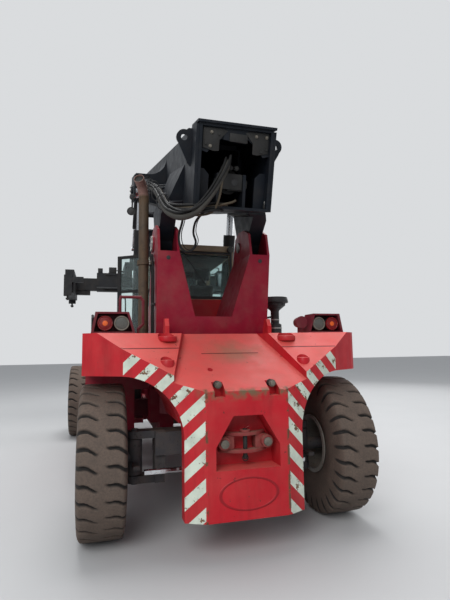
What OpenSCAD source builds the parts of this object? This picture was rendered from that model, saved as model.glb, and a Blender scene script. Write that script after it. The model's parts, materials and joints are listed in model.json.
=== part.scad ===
// Reach stacker seen from its counterweight end.
// x runs to the machine's right, y forward, z up; the origin is on the ground
// under the middle of the overall box, so the chassis lies side_shift to the left.

/* [Chassis] */
// Distance from the rear face to the steered axle
rear_axle_y = 1010; // [950:10:1100]
// Distance between the two axles
wheelbase = 6250; // [5900:10:6600]
// Distance of a chassis beam's inner face from the centre plane, ahead of the steered wheels
beam_in = 440; // [430:5:460]
// Thickness of a chassis beam
beam_w = 160; // [140:5:170]
// Height of the top of the chassis beams
beam_top = 1450; // [1430:5:1480]
// Height of the underside of the deep middle stretch of the beams
beam_low = 800; // [740:10:860]
// How far the chassis reaches ahead of the front axle
front_overhang = 1040; // [900:10:1150]
// Width of the front crosshead
crosshead_w = 1900; // [1700:10:1960]

/* [Wheels] */
// Outer diameter over the lugs
tyre_d = 1620; // [1560:10:1660]
// Width of one tyre
tyre_w = 500; // [460:5:520]
// Diameter of the rim seat
rim_d = 636; // [600:2:660]
// Distance of a steered wheel's centre from the centre plane
steer_track_half = 1370; // [1340:5:1400]
// Distance of a king pin from the centre plane
kingpin_x = 1015; // [1000:5:1030]
// Distance of the inner driven wheel's centre from the centre plane
dual_inner_x = 1265; // [1250:5:1290]
// Spacing of the twin driven wheels
dual_spacing = 560; // [540:5:590]

/* [Counterweight] */
// Half width of the flat rear face
rear_face_half = 415; // [380:5:450]
// Half width over the two wings
wing_half = 1585; // [1500:5:1620]
// Half width of the lower body between the steered wheels
skirt_half = 615; // [580:5:640]
// Height of the lower edge
cw_bottom = 366; // [340:5:420]
// Height of the rear edge of the sloping top
cw_rear_top = 1580; // [1540:5:1620]
// Height of the crest
cw_crest = 2170; // [2120:5:2200]
// Depth of the towing pocket
pocket_depth = 240; // [200:5:260]

/* [Towers and boom] */
// Position of the boom pivot along the machine
pivot_y = 1700; // [1650:10:1750]
// Height of the boom pivot
pivot_z = 3400; // [3300:10:3450]
// Angle of the boom above the ground, as it stands
boom_angle = 16; // [10:1:22]
// Outer width of the outer boom
boom_w = 840; // [820:5:850]
// Outer height of the outer boom
boom_h = 890; // [860:5:920]
// Plate thickness of the outer boom
boom_plate = 30; // [20:1:36]
// Height of the boom's underside over the pivot
boom_rise = 485; // [470:5:500]
// How far the boom reaches behind the pivot
boom_tail = 1200; // [1150:10:1230]
// How far the outer boom reaches ahead of the pivot
boom_front = 6300; // [6000:10:6500]
// Width of the inner boom
inner_w = 700; // [680:5:710]
// Height of the inner boom
inner_h = 750; // [720:5:760]
// Distance of the head pin ahead of the pivot, along the boom
head_u = 8709; // [8600:1:8900]
// Distance of the head pin below the pivot's boom line
head_drop = 104; // [80:1:140]
// Diameter of the boom pivot pins
pivot_pin_d = 140; // [120:5:160]

/* [Lift cylinders] */
// Distance of a lift cylinder from the centre plane
lift_x = 780; // [775:1:790]
// Position of the lower pins along the machine
lift_base_y = 4000; // [3950:10:4050]
// Height of the lower pins
lift_base_z = 950; // [930:10:1000]
// Upper pins: distance ahead of the boom pivot along the boom
lift_top_u = 1648; // [1640:1:1660]
// Upper pins: height over the boom pivot's line
lift_top_v = 776; // [770:1:790]
// Outer diameter of a barrel
lift_barrel_d = 200; // [180:5:210]
// Diameter of a rod
lift_rod_d = 120; // [100:5:130]
// Length of a barrel, from its pin to its gland
lift_barrel_len = 3130; // [3050:5:3140]

/* [Cab] */
// Half width of the cab
cab_half = 590; // [570:5:600]
// Position of the cab's rear wall
cab_rear_y = 2400; // [2390:5:2450]
// Length of the cab
cab_len = 1600; // [1500:10:1700]
// Height of the cab floor's underside
cab_floor_z = 1900; // [1890:5:1950]
// Height of the roof's top
cab_top_z = 3580; // [3540:5:3620]
// Wall thickness of the cab
cab_wall = 50; // [40:1:60]
// Width of the cab door
door_w = 630; // [600:5:650]
// Angle by which the door stands open
door_open = 55.5; // [0:0.5:80]

/* [Spreader] */
// Sideways shift of the spreader, as it stands
side_shift = 640; // [0:10:800]
// Distance between the lock centres along the spreader, set for a short box
lock_span_x = 5853; // [5840:1:5860]
// Distance between the lock centres across the spreader
lock_span_y = 2259; // [2250:1:2262]
// Overall length of the spreader, set for a short box
spreader_len = 6058; // [6040:1:6080]
// Overall width of the spreader
spreader_w = 2400; // [2380:5:2438]
// Height from the head pin down to the top of the slewing ring
yoke_drop = 900; // [850:10:950]
// Height from the head pin down to the top of the main beams
beam_drop = 1430; // [1400:5:1460]
// Height of a main beam of the spreader
sp_beam_h = 420; // [380:5:440]
// Width of a main beam of the spreader
sp_beam_w = 300; // [280:5:320]
// Distance of a main beam from the spreader's middle
sp_beam_y = 480; // [440:5:520]

/* [Fits] */
// Play between a pin and its bore
pin_gap = 0.3; // [0.2:0.05:0.5]
// Play between a moving part and its neighbour
move_gap = 8; // [6:0.5:10]
// Play at sliding pads
pad_gap = 0.3; // [0.2:0.1:2]

/* [Hidden] */

$fn = 48;
skin = 1;
LEFT = -1;
RIGHT = 1;

overall_len = head_y() + spreader_w / 2;
front_axle_y = rear_axle_y + wheelbase;
axle_z = tyre_d / 2;
chassis_front = front_axle_y + front_overhang;
beam_out = beam_in + beam_w;
flank_slope = 0.49;
cw_front = 1300;
arch_r = 600;
arch_x = skirt_half + arch_r;
arch_z = 1130;
pocket_half = 327;
pocket_low = 834;
pocket_mid = 1050;
pocket_top = 1342;
pocket_top_half = 151;
tower_out = 735;
tower_plate = 30;
tower_in = 465;
tower_rear_top = 3210;
notch_z = 2405;
notch_half = 244;
lug_in = tower_in + tower_plate + move_gap;
lug_out = tower_out - tower_plate - move_gap;
boom_top = boom_rise + boom_h;
boom_mid = boom_rise + boom_h / 2;
inner_low = boom_mid - inner_h / 2;
inner_top = boom_mid + inner_h / 2;
lift_slot_in = lift_x - 110;
lift_slot_out = lift_x + 110;
lift_eye_half = 100;
sp_wall = 12;
sp_gap = 8;
rail_y = sp_beam_y + sp_beam_w / 2 + 35;
lock_neck = 60;
lock_margin = 102.5;
lock_d = 56;
spindle_d = 140;
hub_d = 220;
axle_pin_d = 120;
axle_pin_z = 950;
pipe_x = 873;
pipe_d = 130;
pipe_bend_z = 3972;
pipe_turn = 65;
pipe_steps = 5;
pipe_step_len = 55;
tank_in = 930;
tank_out = 1500;
seam = 2740;
door_axis_x = -cab_half - 40;
door_axis_y = cab_rear_y + 20;
door_pin_d = 18;
tele_z = boom_mid - 130;
tele_rod_d = 140;
cheek_x = lift_slot_out + 28;
cheek_low = lift_top_v - 180;
bracket_rear = lift_top_u - 300;
damper_u = head_u - 1397;
damper_v = boom_mid + 191;
ear_x = 540;
ear_u = -920;
ear_v = 1247;
// Members across the chassis: rear, front and lower edge
cross_members = [[1400, 2330, 1350], [4600, 4800, 900], [6160, 6360, 900]];
REAR = 0;
FRONT = 1;
LOW = 2;

function head_y() = pivot_y + head_u * cos(boom_angle) + head_drop * sin(boom_angle);
function head_z() = pivot_z + head_u * sin(boom_angle) - head_drop * cos(boom_angle);
function boom_y(u, v) = pivot_y + u * cos(boom_angle) - v * sin(boom_angle);
function boom_z(u, v) = pivot_z + u * sin(boom_angle) + v * cos(boom_angle);
lift_dy = boom_y(lift_top_u, lift_top_v) - lift_base_y;
lift_dz = boom_z(lift_top_u, lift_top_v) - lift_base_z;
lift_len = norm([lift_dy, lift_dz]);
lift_lean = atan2(-lift_dy, lift_dz);

// Frames of reference
module on_row() { translate([-side_shift, -overall_len / 2, 0]) children(); }
module on_boom() { translate([0, pivot_y, pivot_z]) rotate([boom_angle, 0, 0]) children(); }
module on_head() { translate([0, head_y(), head_z()]) children(); }
module on_spreader() { translate([side_shift, head_y(), head_z()]) children(); }
module on_lift(side) { translate([side * lift_x, lift_base_y, lift_base_z]) rotate([lift_lean, 0,
    0]) children(); }
module on_door() { translate([door_axis_x, door_axis_y, 0]) rotate([0, 0, door_open]) children(); }
module both_sides() { children(); mirror([1, 0, 0]) children(); }
module at_end(s) { if (s < 0) mirror([0, 1, 0]) children(); else children(); }
module on_side(side) { if (side < 0) mirror([1, 0, 0]) children(); else children(); }

// A box from its low corner to its high corner
module block(lo, hi) { translate(lo) cube(hi - lo); }
// A plate parallel to the centre plane, outlined in y and z
module side_plate(x0, t, pts) { translate([x0, 0, 0]) rotate([90, 0, 90]) linear_extrude(t) polygon(pts); }
// A plate across the machine, outlined in x and z
module cross_plate(y0, t, pts) { translate([0, y0 + t, 0]) rotate([90, 0, 0]) linear_extrude(t) polygon(pts); }
// A round bar along x
module bar_x(x0, x1, y, z, d) { translate([x0, y, z]) rotate([0, 90, 0]) cylinder(h = x1 - x0, d = d); }
// A round bar along y
module bar_y(x, y0, y1, z, d) { translate([x, y0, z]) rotate([-90, 0, 0]) cylinder(h = y1 - y0, d = d); }
// A round bar along z
module bar_z(x, y, z0, z1, d) { translate([x, y, z0]) cylinder(h = z1 - z0, d = d); }
// A round bar between two points
module bar(a, b, d) {
    v = b - a;
    translate(a) rotate([0, acos(v[2] / norm(v)), atan2(v[1], v[0])]) cylinder(h = norm(v), d = d);
}
// A bent tube through a few points
module bent_tube(pts, d) {
    for (i = [0 : len(pts) - 2]) bar(pts[i], pts[i + 1], d);
    for (i = [1 : len(pts) - 2]) translate(pts[i]) sphere(d = 1.08 * d);
}

// Chassis
module beam_outline() {
    polygon([[280, 760], [beam_in, 760], [beam_in, 1850], [beam_out, 2050], [beam_out, chassis_front - 200],
             [beam_in, chassis_front - 200], [beam_in, 2100], [280, 1900]]);
}

module main_frame() color("firebrick") {
    shallow = 330;
    both_sides() {
        translate([0, 0, beam_top - shallow]) linear_extrude(shallow) beam_outline();
        translate([0, 0, beam_low]) linear_extrude(beam_top - beam_low)
            intersection() {
                beam_outline();
                translate([0, 2060]) square([2000, 4300]);
            }
        // arms that carry the side tanks
        for (y = [2700, 5600])
            block([beam_out - skin, y, 1000], [tank_in, y + 160, 1250]);
        // brackets of the lift cylinders' lower pins
        difference() {
            union() {
                side_plate(lift_slot_in - 50, 50, [[3700, 800], [4300, 800], [4300, 1100], [4120, 1200],
                    [3880, 1200], [3700, 1100]]);
                side_plate(lift_slot_out, 40, [[3750, 800], [4250, 800], [4250, 1000], [4120, 1120],
                    [3880, 1120], [3750, 1000]]);
                block([beam_out - skin, 3720, 800], [lift_slot_in - 49, 4280, 1100]);
                block([lift_slot_in - 10, 3760, 740], [lift_slot_out + 10, 4240, 801]);
            }
            bar_x(beam_out + 20, 1000, lift_base_y, lift_base_z, 110);
        }
        // saddles over the drive axle
        block([beam_in, front_axle_y - 190, axle_z + 175],
            [beam_out, front_axle_y + 190, beam_top - shallow + skin]);
    }
    // cross members
    for (member = cross_members)
        block([-beam_in - skin, member[REAR], member[LOW]], [beam_in + skin, member[FRONT], beam_top - 5]);
    // front crosshead
    block([-crosshead_w / 2, chassis_front - 220, 760], [crosshead_w / 2, chassis_front, beam_top]);
    // hangers and pin of the oscillating rear axle
    for (y = [760, 1215])
        cross_plate(y, 45, [[-150, 860], [150, 860], [200, 1135], [300, 1135], [300, 1350], [-300, 1350],
            [-300, 1135], [-200, 1135]]);
    bar_y(0, 762, 1258, axle_pin_z, axle_pin_d);
}

// Cast block behind the steered wheels, with a sloping top, two wings and a towing pocket
module cw_plan(y_end) {
    y_skirt = flank_slope * (skirt_half - rear_face_half);
    polygon([[-rear_face_half, 0], [rear_face_half, 0], [skirt_half, y_skirt], [skirt_half, 240],
        [skirt_half - 60, 300], [450, 300],
             [450, y_end], [-450, y_end], [-450, 300], [60 - skirt_half, 300], [-skirt_half, 240],
                 [-skirt_half, y_skirt]]);
}

module cw_wing_plan() {
    y_joint = flank_slope * (1190 - rear_face_half);
    polygon([[-rear_face_half, 0], [rear_face_half, 0], [1190, y_joint], [wing_half - 60, 605],
        [wing_half, 665],
             [wing_half, cw_front], [-wing_half, cw_front], [-wing_half, 665], [-wing_half + 60, 605],
                 [-1190, y_joint]]);
}

// Space above the sloping top: two side slopes and a trough between them
module cw_top_cut() {
    both_sides() {
        // side slope, rising outwards and forwards
        translate([0, 0, 1507]) multmatrix([[1, 0, 0, 0], [0, 1, 0, 0], [0.176, 0.7466, 1, 0], [0, 0, 0, 1]])
            block([380, -400, 0], [2500, 1600, 2600]);
    }
    multmatrix([[1, 0, 0, 0], [0, 1, 0, 0], [0, 0.6, 1, 0], [0, 0, 0, 1]])
        translate([0, 0, cw_rear_top]) linear_extrude(2000)
            polygon([[-trough_half(-400), -400], [trough_half(-400), -400], [trough_half(1100), 1100],
                [-trough_half(1100), 1100]]);
}

// Half width of the trough, which flares to the rear
function trough_half(y) = 645 - 0.3 * (y - 350);

module counterweight() color("red") difference() {
    union() {
        intersection() {
            union() {
                translate([0, 0, cw_bottom]) linear_extrude(850 - cw_bottom) cw_plan(650);
                translate([0, 0, 850]) linear_extrude(beam_top - 850) cw_plan(750);
                translate([0, 0, beam_top]) linear_extrude(800) cw_plan(cw_front);
                difference() {
                    translate([0, 0, 1100]) linear_extrude(1200) cw_wing_plan();
                    both_sides() translate([arch_x, -10, arch_z]) rotate([-90, 0, 0]) cylinder(h = 2000,
                        r = arch_r);
                    both_sides() block([skirt_half, -10, 1000], [2500, 2000, arch_z]);
                    both_sides() block([arch_x, -10, 1000], [2500, 2000, arch_z + arch_r]);
                    block([-skirt_half - 12, 300, 1000], [skirt_half + 12, 2000, 1740]);
                    // chamfer that clears a turned wheel
                    both_sides() translate([0, 0, 1000]) linear_extrude(740)
                        polygon([[skirt_half + 40, 200], [skirt_half + 40, 301], [skirt_half - 61, 301]]);
                }
            }
            block([-2000, -10, 0], [2000, 2000, cw_crest]);
        }
        // lifting hooks ahead of the crest
        for (x = [-640, 655])
            side_plate(x - 25, 50, [[1060, cw_crest - 5], [1240, cw_crest - 5], [1240, cw_crest + 60],
                [1180, cw_crest + 190], [1110, cw_crest + 190], [1060, cw_crest + 100]]);
    }
    cw_top_cut();
    // towing pocket
    cross_plate(-skin, pocket_depth + skin, [[-pocket_half, pocket_low], [pocket_half, pocket_low],
        [pocket_half, pocket_mid],
        [pocket_top_half, pocket_top], [-pocket_top_half, pocket_top], [-pocket_half, pocket_mid]]);
    // recesses of the two reversing lamps
    both_sides() block([283 - 55, -skin, 1525], [283 + 55, 140, 1800]);
    // sunk lifting pads
    both_sides() {
        translate([748, 305, 1790]) cylinder(h = 400, r = 70);
        translate([698, 640, 2080]) cylinder(h = 400, r = 105);
    }
    // drain slot in the sloping top
    translate([-300, 330, 1700]) cylinder(h = 400, r = 28);
}

// Two bowed bars and a pin in the pocket
module tow_coupling() color("indianred") {
    for (bowed_bar = [[985, 250], [1150, 230]]) {
        z = bowed_bar[0];
        half = bowed_bar[1];
        cross_plate(60, pocket_depth - 60, [[-half, z - 22], [-90, z - 22], [-60, z - 40], [60, z - 40],
            [90, z - 22], [half, z - 22],
            [half, z + 22], [90, z + 22], [60, z + 4], [-60, z + 4], [-90, z + 22], [-half, z + 22]]);
    }
    // round pads beside the opening, and the posts that join the bars
    both_sides() {
        bar_y(240, 30, pocket_depth, 1075, 90);
        block([208, 100, 985], [232, pocket_depth, 1160]);
    }
    bar_z(0, 120, 880, 1230, 50);
    translate([0, 120, 890]) rotate_extrude() translate([30, 0]) circle(d = 16);
}

// Two forked towers joined by one notched rear plate
module boom_towers() color("crimson") {
    head_r = 215;
    both_sides() {
        // outer plate
        difference() {
            side_plate(tower_out - tower_plate, tower_plate, [[1390, 1700], [1850, 1700], [2060, 1450],
                [2060, 1000], [2330, 1000], [2330, 1900], [2200, 2600],
                [pivot_y + head_r, pivot_z], [pivot_y + 150, pivot_z + 150], [pivot_y, pivot_z + head_r],
                    [pivot_y - 250, pivot_z + 190], [1270, pivot_z + 100], [1200, tower_rear_top],
                    [1390, 2100]]);
            bar_x(tower_out - 100, tower_out + 10, pivot_y, pivot_z, pivot_pin_d + 2 * pin_gap);
        }
        // inner plate of the fork, leaning in below the fork
        difference() {
            intersection() {
                cross_plate(1100, 1400, [[notch_half, beam_top], [notch_half + tower_plate, beam_top],
                    [notch_half + tower_plate, notch_z], [tower_in + tower_plate, tower_rear_top],
                    [tower_in + tower_plate, 3700], [tower_in, 3700], [tower_in, tower_rear_top],
                        [notch_half, notch_z]]);
                side_plate(100, 600, [[1390, beam_top], [2330, beam_top], [2330, 1900], [2200, 2600],
                    [pivot_y + head_r, pivot_z], [pivot_y + 150, pivot_z + 150],
                        [pivot_y, pivot_z + head_r], [pivot_y - 250, pivot_z + 190],
                        [1270, pivot_z + 100], [1200, tower_rear_top], [1390, 2100]]);
            }
            bar_x(tower_in - 100, tower_in + 100, pivot_y, pivot_z, pivot_pin_d + 2 * pin_gap);
        }
        // front plate of the tower box
        cross_plate(2120, 30, [[notch_half + 29, beam_top + 1], [tower_out - 29, beam_top + 1],
            [tower_out - 29, 2850], [tower_in - 60, 2850], [notch_half + 29, notch_z]]);
        // foot against the chassis beam
        block([beam_out, 2060, 1000], [tower_out - 29, 2330, beam_top]);
        // floor of the tower box over the wheel
        block([notch_half + 29, 1400, 1700], [tower_out - 29, 1860, 1730]);
    }
    // notched rear plate, leaning back
    intersection() {
        cross_plate(1100, 500, [[-tower_out, 1700], [tower_out, 1700], [tower_out, tower_rear_top],
            [tower_in, tower_rear_top],
            [notch_half, notch_z], [-notch_half, notch_z], [-tower_in, tower_rear_top],
                [-tower_out, tower_rear_top]]);
        side_plate(-900, 1800, [[1390, 1700], [1420, 1700], [1420, 2100], [1230, tower_rear_top],
            [1200, tower_rear_top], [1390, 2100]]);
    }
}

module chassis_pins() color("dimgray") both_sides() {
    bar_x(tower_in - 20, tower_out + 15, pivot_y, pivot_z, pivot_pin_d);
    bar_x(tower_out + 15, tower_out + 30, pivot_y, pivot_z, pivot_pin_d + 60);
    bar_x(lift_slot_in - 45, lift_slot_out + 38, lift_base_y, lift_base_z, 110 - 2 * pin_gap);
}

// Lamps
module lamp_boxes() color("maroon") {
    both_sides() difference() {
        translate([1270, 730, cw_crest]) rotate([-90, 0, 0]) mirror([0, 1, 0]) linear_extrude(240)
            polygon([[-235, 0], [235, 0], [190, 235], [-165, 235]]);
        translate([1270, 729, cw_crest + 20]) rotate([-90, 0, 0]) mirror([0, 1, 0]) linear_extrude(200)
            polygon([[-205, 0], [205, 0], [165, 195], [-145, 195]]);
    }
    // tubular guard ahead of the left lamp box
    bent_tube([[-1190, 1010, cw_crest], [-1190, 1010, cw_crest + 400], [-1180, 1010, cw_crest + 430],
               [-960, 1010, cw_crest + 430], [-930, 1010, cw_crest + 390], [-930, 1010, cw_crest + 120],
               [-985, 1010, cw_crest + 60], [-985, 1010, cw_crest]], 34);
    // horn on the inner side of the right lamp box
    translate([960, 760, cw_crest + 130]) rotate([-90, 0, 0]) cylinder(h = 120, r1 = 75, r2 = 60);
    block([945, 790, cw_crest], [975, 860, cw_crest + 90]);
}

module rear_lamps() color("orangered") {
    both_sides() for (x = [1357, 1182])
        bar_y(x, 735, 929, cw_crest + 112, 164);
    both_sides() bar_y(283, 70, 140, 1640, 76);
}

// Steered axle
module steer_axle() color("dimgray") {
    difference() {
        union() {
            block([-800, rear_axle_y - 150, 830], [800, rear_axle_y + 150, 1080]);
            block([-230, rear_axle_y - 195, 800], [230, rear_axle_y + 195, 1100]);
            both_sides() {
                for (z = [axle_z - 280, axle_z + 200]) kingpin_arm(z);
                block([690, rear_axle_y - 110, axle_z - 280], [800, rear_axle_y + 110, axle_z + 280]);
            }
            // barrel of the double-ended steering cylinder
            bar_x(-330, 330, rear_axle_y - 250, 690, 130);
            for (x = [-250, 190]) block([x, rear_axle_y - 250, 700], [x + 60, rear_axle_y - 100, 860]);
        }
        bar_y(0, rear_axle_y - 400, rear_axle_y + 400, axle_pin_z, axle_pin_d + 2 * pin_gap);
        bar_x(-400, 400, rear_axle_y - 250, 690, 60 + 2 * pin_gap);
        both_sides() bar_z(kingpin_x, rear_axle_y, 300, 1300, 80 + 2 * pin_gap);
    }
}

module kingpin_arm(z) {
    linear_extrude_at(z, 80) {
        translate([kingpin_x, rear_axle_y]) circle(r = 88);
        translate([700, rear_axle_y - 88]) square([kingpin_x - 700, 176]);
    }
}

module linear_extrude_at(z, h) { translate([0, 0, z]) linear_extrude(h) children(); }

// Rod of the steering cylinder, with its two links ending under the steering arms
module steer_rod() color("silver") {
    bar_x(-900, 900, rear_axle_y - 250, 690, 60);
    both_sides() block([700, rear_axle_y - 285, 670], [930, rear_axle_y - 215, 710]);
}

module knuckle(side) on_side(side) color("gray") {
    bar_z(kingpin_x, rear_axle_y, axle_z - 190, axle_z + 190, 170);
    bar_z(kingpin_x, rear_axle_y, axle_z - 300, axle_z + 300, 80);
    bar_x(kingpin_x, steer_track_half + 150, rear_axle_y, axle_z, spindle_d);
    block([kingpin_x - 35, rear_axle_y - 290, 725], [kingpin_x + 35, rear_axle_y - 60, 765]);
}

// Drive axle
module drive_axle() color("dimgray") {
    // housing with the bulge of the final drive
    translate([0, front_axle_y, axle_z]) rotate([0, 90, 0]) rotate_extrude()
        polygon([[0, -1090], [170, -1090], [170, -360], [290, -190], [320, -90], [320, 90], [290, 190],
            [170, 360], [170, 1090], [0, 1090]]);
    bar_y(0, front_axle_y - 560, front_axle_y - 200, axle_z, 200);
    both_sides() {
        bar_x(1080, 1900, front_axle_y, axle_z, hub_d);
        block([beam_in, front_axle_y - 190, axle_z + 100], [beam_out, front_axle_y + 190, axle_z + 175]);
    }
}

// Engine, closed in: one plain block
module engine_block() color("darkslategray") {
    block([-360, 2480, 900], [360, 4050, 1780]);
    for (y = [2620, 3800]) block([-beam_in, y, 1000], [beam_in, y + 110, 1060]);
}

module engine_cover() color("firebrick") {
    y0 = cab_rear_y - 30;
    y1 = 6100;
    difference() {
        block([-beam_out, y0, beam_top], [beam_out, y1, 1600]);
        block([-beam_out + 40, y0 + 40, beam_top - skin], [beam_out - 40, y1 - 40, 1600 + skin]);
    }
    difference() {
        block([-beam_out, y0, 1600], [beam_out, y1, cab_floor_z]);
        block([-beam_out + 40, y0 + 40, 1600 - skin], [beam_out - 40, y1 - 40, cab_floor_z - 40]);
        // louvres in the side panels ahead of the cab
        for (i = [0 : 7]) block([-beam_out - 10, 4300 + i * 190, 1640], [beam_out + 10, 4400 + i * 190, 1820]);
    }
}

module fuel_tank() color("firebrick") {
    difference() {
        block([-tank_out, 2200, 560], [-tank_in, 6180, beam_top]);
        // ladder well at the cab door
        block([-tank_out - 1, 2300, 820], [-1330, 2900, beam_top + 1]);
    }
    block([-tank_out, 2299, 1130], [-1329, 2901, 1150]);
}

module hydraulic_tank() color("firebrick") {
    block([tank_in, 2200, 560], [tank_out, 4300, beam_top]);
    difference() {
        block([tank_in, 4330, 600], [tank_out, 6180, beam_top]);
        for (i = [0 : 5]) block([tank_out - 10, 4480 + i * 260, 750], [tank_out + 1, 4660 + i * 260, 1250]);
    }
    bar_z(1215, 2600, beam_top - skin, beam_top + 60, 220);
}

// Walkways over the tanks, mudguards over the steered wheels and the front step
module decks_and_steps() color("maroon") {
    for (s = [LEFT, RIGHT]) on_side(s) {
        difference() {
            block([beam_out + 40, 2160, beam_top], [1560, 6180, beam_top + 35]);
            block([lift_slot_in - 40, 3300, beam_top - 1], [lift_slot_out + 60, 4300, beam_top + 40]);
            // room for the tower's outer plate
            block([beam_out, 2150, beam_top - 1], [tower_out + 5, 2340, beam_top + 40]);
            if (s == RIGHT) bar_z(1215, 2600, beam_top - 1, beam_top + 100, 224);
            if (s == LEFT) block([1330, 2300, beam_top - 1], [1561, 2900, beam_top + 40]);
        }
        // mudguard
        block([tower_out + 5, cw_front + 5, 1690], [1585, 2090, 1715]);
        side_plate(tower_out + 5, 1585 - tower_out - 5, [[2090, 1690], [2090, 1715], [2150, 1650],
            [2150, 1484], [2125, 1484], [2125, 1640]]);
        block([tower_out + 5, 2125, beam_top + 1], [1560, 2161, beam_top + 35]);
    }
}

module handrails() color("black") {
    rail_z = beam_top + 35;
    for (s = [LEFT, RIGHT])
        bent_tube([[s * 1520, 3100, rail_z], [s * 1520, 3100, rail_z + 1000], [s * 1520, 3150, rail_z + 1050],
                   [s * 1520, 5900, rail_z + 1050], [s * 1520, 5950, rail_z + 1000],
                       [s * 1520, 5950, rail_z]], 38);
    for (s = [LEFT, RIGHT]) {
        for (y = [4050, 5000]) bar([s * 1520, y, rail_z], [s * 1520, y, rail_z + 1045], 34);
        bar([s * 1520, 3105, rail_z + 520], [s * 1520, 5945, rail_z + 520], 30);
    }
}

// Straight pipe clamped to the tower, bent to the rear at its top in short straight steps
module exhaust_pipe() color("saddlebrown") translate([-pipe_x, 1600, 0]) {
    clamp_z = 3090;
    bar_z(0, 0, 1715, 1745, pipe_d + 60);
    bar_z(0, 0, 1740, pipe_bend_z + 12, pipe_d);
    translate([0, 0, pipe_bend_z]) rotate([0, 0, -115]) pipe_step(1);
    bar_z(0, 0, clamp_z, clamp_z + 60, pipe_d + 36);
    block([50, -35, clamp_z + 10], [pipe_x - tower_out, 35, clamp_z + 50]);
}

// One straight step of the bend, and all that follow it; the last one is the open mouth
module pipe_step(i) rotate([0, pipe_turn / pipe_steps, 0]) {
    lap = 12;
    d = i % 2 == 1 ? pipe_d + 4 : pipe_d;
    if (i < pipe_steps) {
        translate([0, 0, -lap]) cylinder(h = pipe_step_len + 2 * lap, d = d);
        translate([0, 0, pipe_step_len]) pipe_step(i + 1);
    } else difference() {
        translate([0, 0, -lap]) cylinder(h = pipe_step_len + 2 * lap + 24, d = d);
        translate([0, 0, 2 * lap]) cylinder(h = pipe_step_len + 60, d = d - 12);
    }
}

module air_precleaner() color("black") {
    translate([1215, 2260, 0]) {
        bar_z(0, 0, beam_top + 35, 2350, 200);
        bar_z(0, 0, 2340, 2560, 130);
        translate([0, 0, 2560]) cylinder(h = 70, r1 = 65, r2 = 150);
        translate([0, 0, 2630]) cylinder(h = 60, r = 160);
        translate([0, 0, 2690]) cylinder(h = 90, r1 = 215, r2 = 190);
    }
}

// Cab
module cab_base() color("red") {
    y0 = cab_rear_y;
    y1 = cab_rear_y + cab_len;
    difference() {
        block([-cab_half, y0, cab_floor_z], [cab_half, y1, seam]);
        block([-cab_half + cab_wall, y0 + cab_wall, cab_floor_z + cab_wall],
            [cab_half - cab_wall, y1 - cab_wall, seam + skin]);
        // door opening
        block([-cab_half - skin, y0 + 70, cab_floor_z + cab_wall],
            [-cab_half + cab_wall + skin, y0 + door_w, seam + skin]);
        // low front window
        block([-430, y1 - cab_wall - skin, 2150], [430, y1 + skin, seam - 100]);
    }
    door_hinge(2150);
}

// Two leaves on the cab's wall with the pin of a door hinge, around a knuckle 100 high
module door_hinge(z) {
    for (z_leaf = [z - 30, z + 105]) {
        bar_z(door_axis_x, door_axis_y, z_leaf, z_leaf + 25, 28);
        block([door_axis_x, door_axis_y - 14, z_leaf], [-cab_half + skin, door_axis_y + 14, z_leaf + 25]);
    }
    bar_z(door_axis_x, door_axis_y, z - 25, z + 125, door_pin_d);
}

module cab_frame() color("tan") {
    y0 = cab_rear_y;
    y1 = cab_rear_y + cab_len;
    roof = cab_top_z - 80;
    difference() {
        block([-cab_half, y0, seam], [cab_half, y1, roof]);
        block([-cab_half + cab_wall, y0 + cab_wall, seam - skin],
            [cab_half - cab_wall, y1 - cab_wall, roof + skin]);
        // rear and front windows
        block([-cab_half + 60, y0 - 40, seam + 50], [cab_half - 60, y0 + cab_wall + 40, roof - 55]);
        block([-cab_half + 60, y1 - cab_wall - 40, seam + 40], [cab_half - 60, y1 + 40, roof - 50]);
        // side windows
        block([cab_half - cab_wall - 40, y0 + 70, seam + 50], [cab_half + 40, y1 - 90, roof - 60]);
        block([-cab_half - 40, y0 + door_w + 80, seam + 50], [-cab_half + cab_wall + 40, y1 - 90, roof - 60]);
        block([-cab_half - 40, y0 + 70, seam - skin], [-cab_half + cab_wall + 40, y0 + door_w, roof - 60]);
    }
    door_hinge(3000);
    // roof shell with a drip edge
    difference() {
        translate([0, 0, roof]) linear_extrude(80) polygon([[-cab_half - 15, y0 + 30],
            [-cab_half + 30, y0 - 15], [cab_half - 30, y0 - 15], [cab_half + 15, y0 + 30],
            [cab_half + 15, y1 + 60], [-cab_half - 15, y1 + 60]]);
        block([-cab_half + cab_wall, y0 + cab_wall, roof - skin],
            [cab_half - cab_wall, y1 - cab_wall, roof + 45]);
    }
}

module cab_glass() color("darkseagreen") {
    y0 = cab_rear_y;
    y1 = cab_rear_y + cab_len;
    roof = cab_top_z - 80;
    t = 6;
    block([-cab_half + 60, y0 + 20, seam + 50], [cab_half - 60, y0 + 20 + t, roof - 55]);
    block([-cab_half + 60, y1 - 26, seam + 40], [cab_half - 60, y1 - 26 + t, roof - 50]);
    block([cab_half - 26, y0 + 70, seam + 50], [cab_half - 26 + t, y1 - 90, roof - 60]);
    block([-cab_half + 20, y0 + door_w + 80, seam + 50], [-cab_half + 20 + t, y1 - 90, roof - 60]);
    block([-430, y1 - 26, 2150], [430, y1 - 26 + t, seam - 100]);
}

module driver_seat() color("black") translate([125, cab_rear_y + 560, cab_floor_z + cab_wall]) {
    block([-160, -160, 0], [160, 200, 330]);
    block([-240, -210, 330], [240, 280, 440]);
    translate([0, -210, 430]) rotate([10, 0, 0]) block([-235, -90, 0], [235, 20, 640]);
    translate([0, -210, 430]) rotate([10, 0, 0]) block([-115, -85, 690], [115, 0, 900]);
    translate([0, -210, 430]) rotate([10, 0, 0]) for (x = [-70, 70]) bar_z(x, -40, 630, 700, 20);
}

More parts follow.
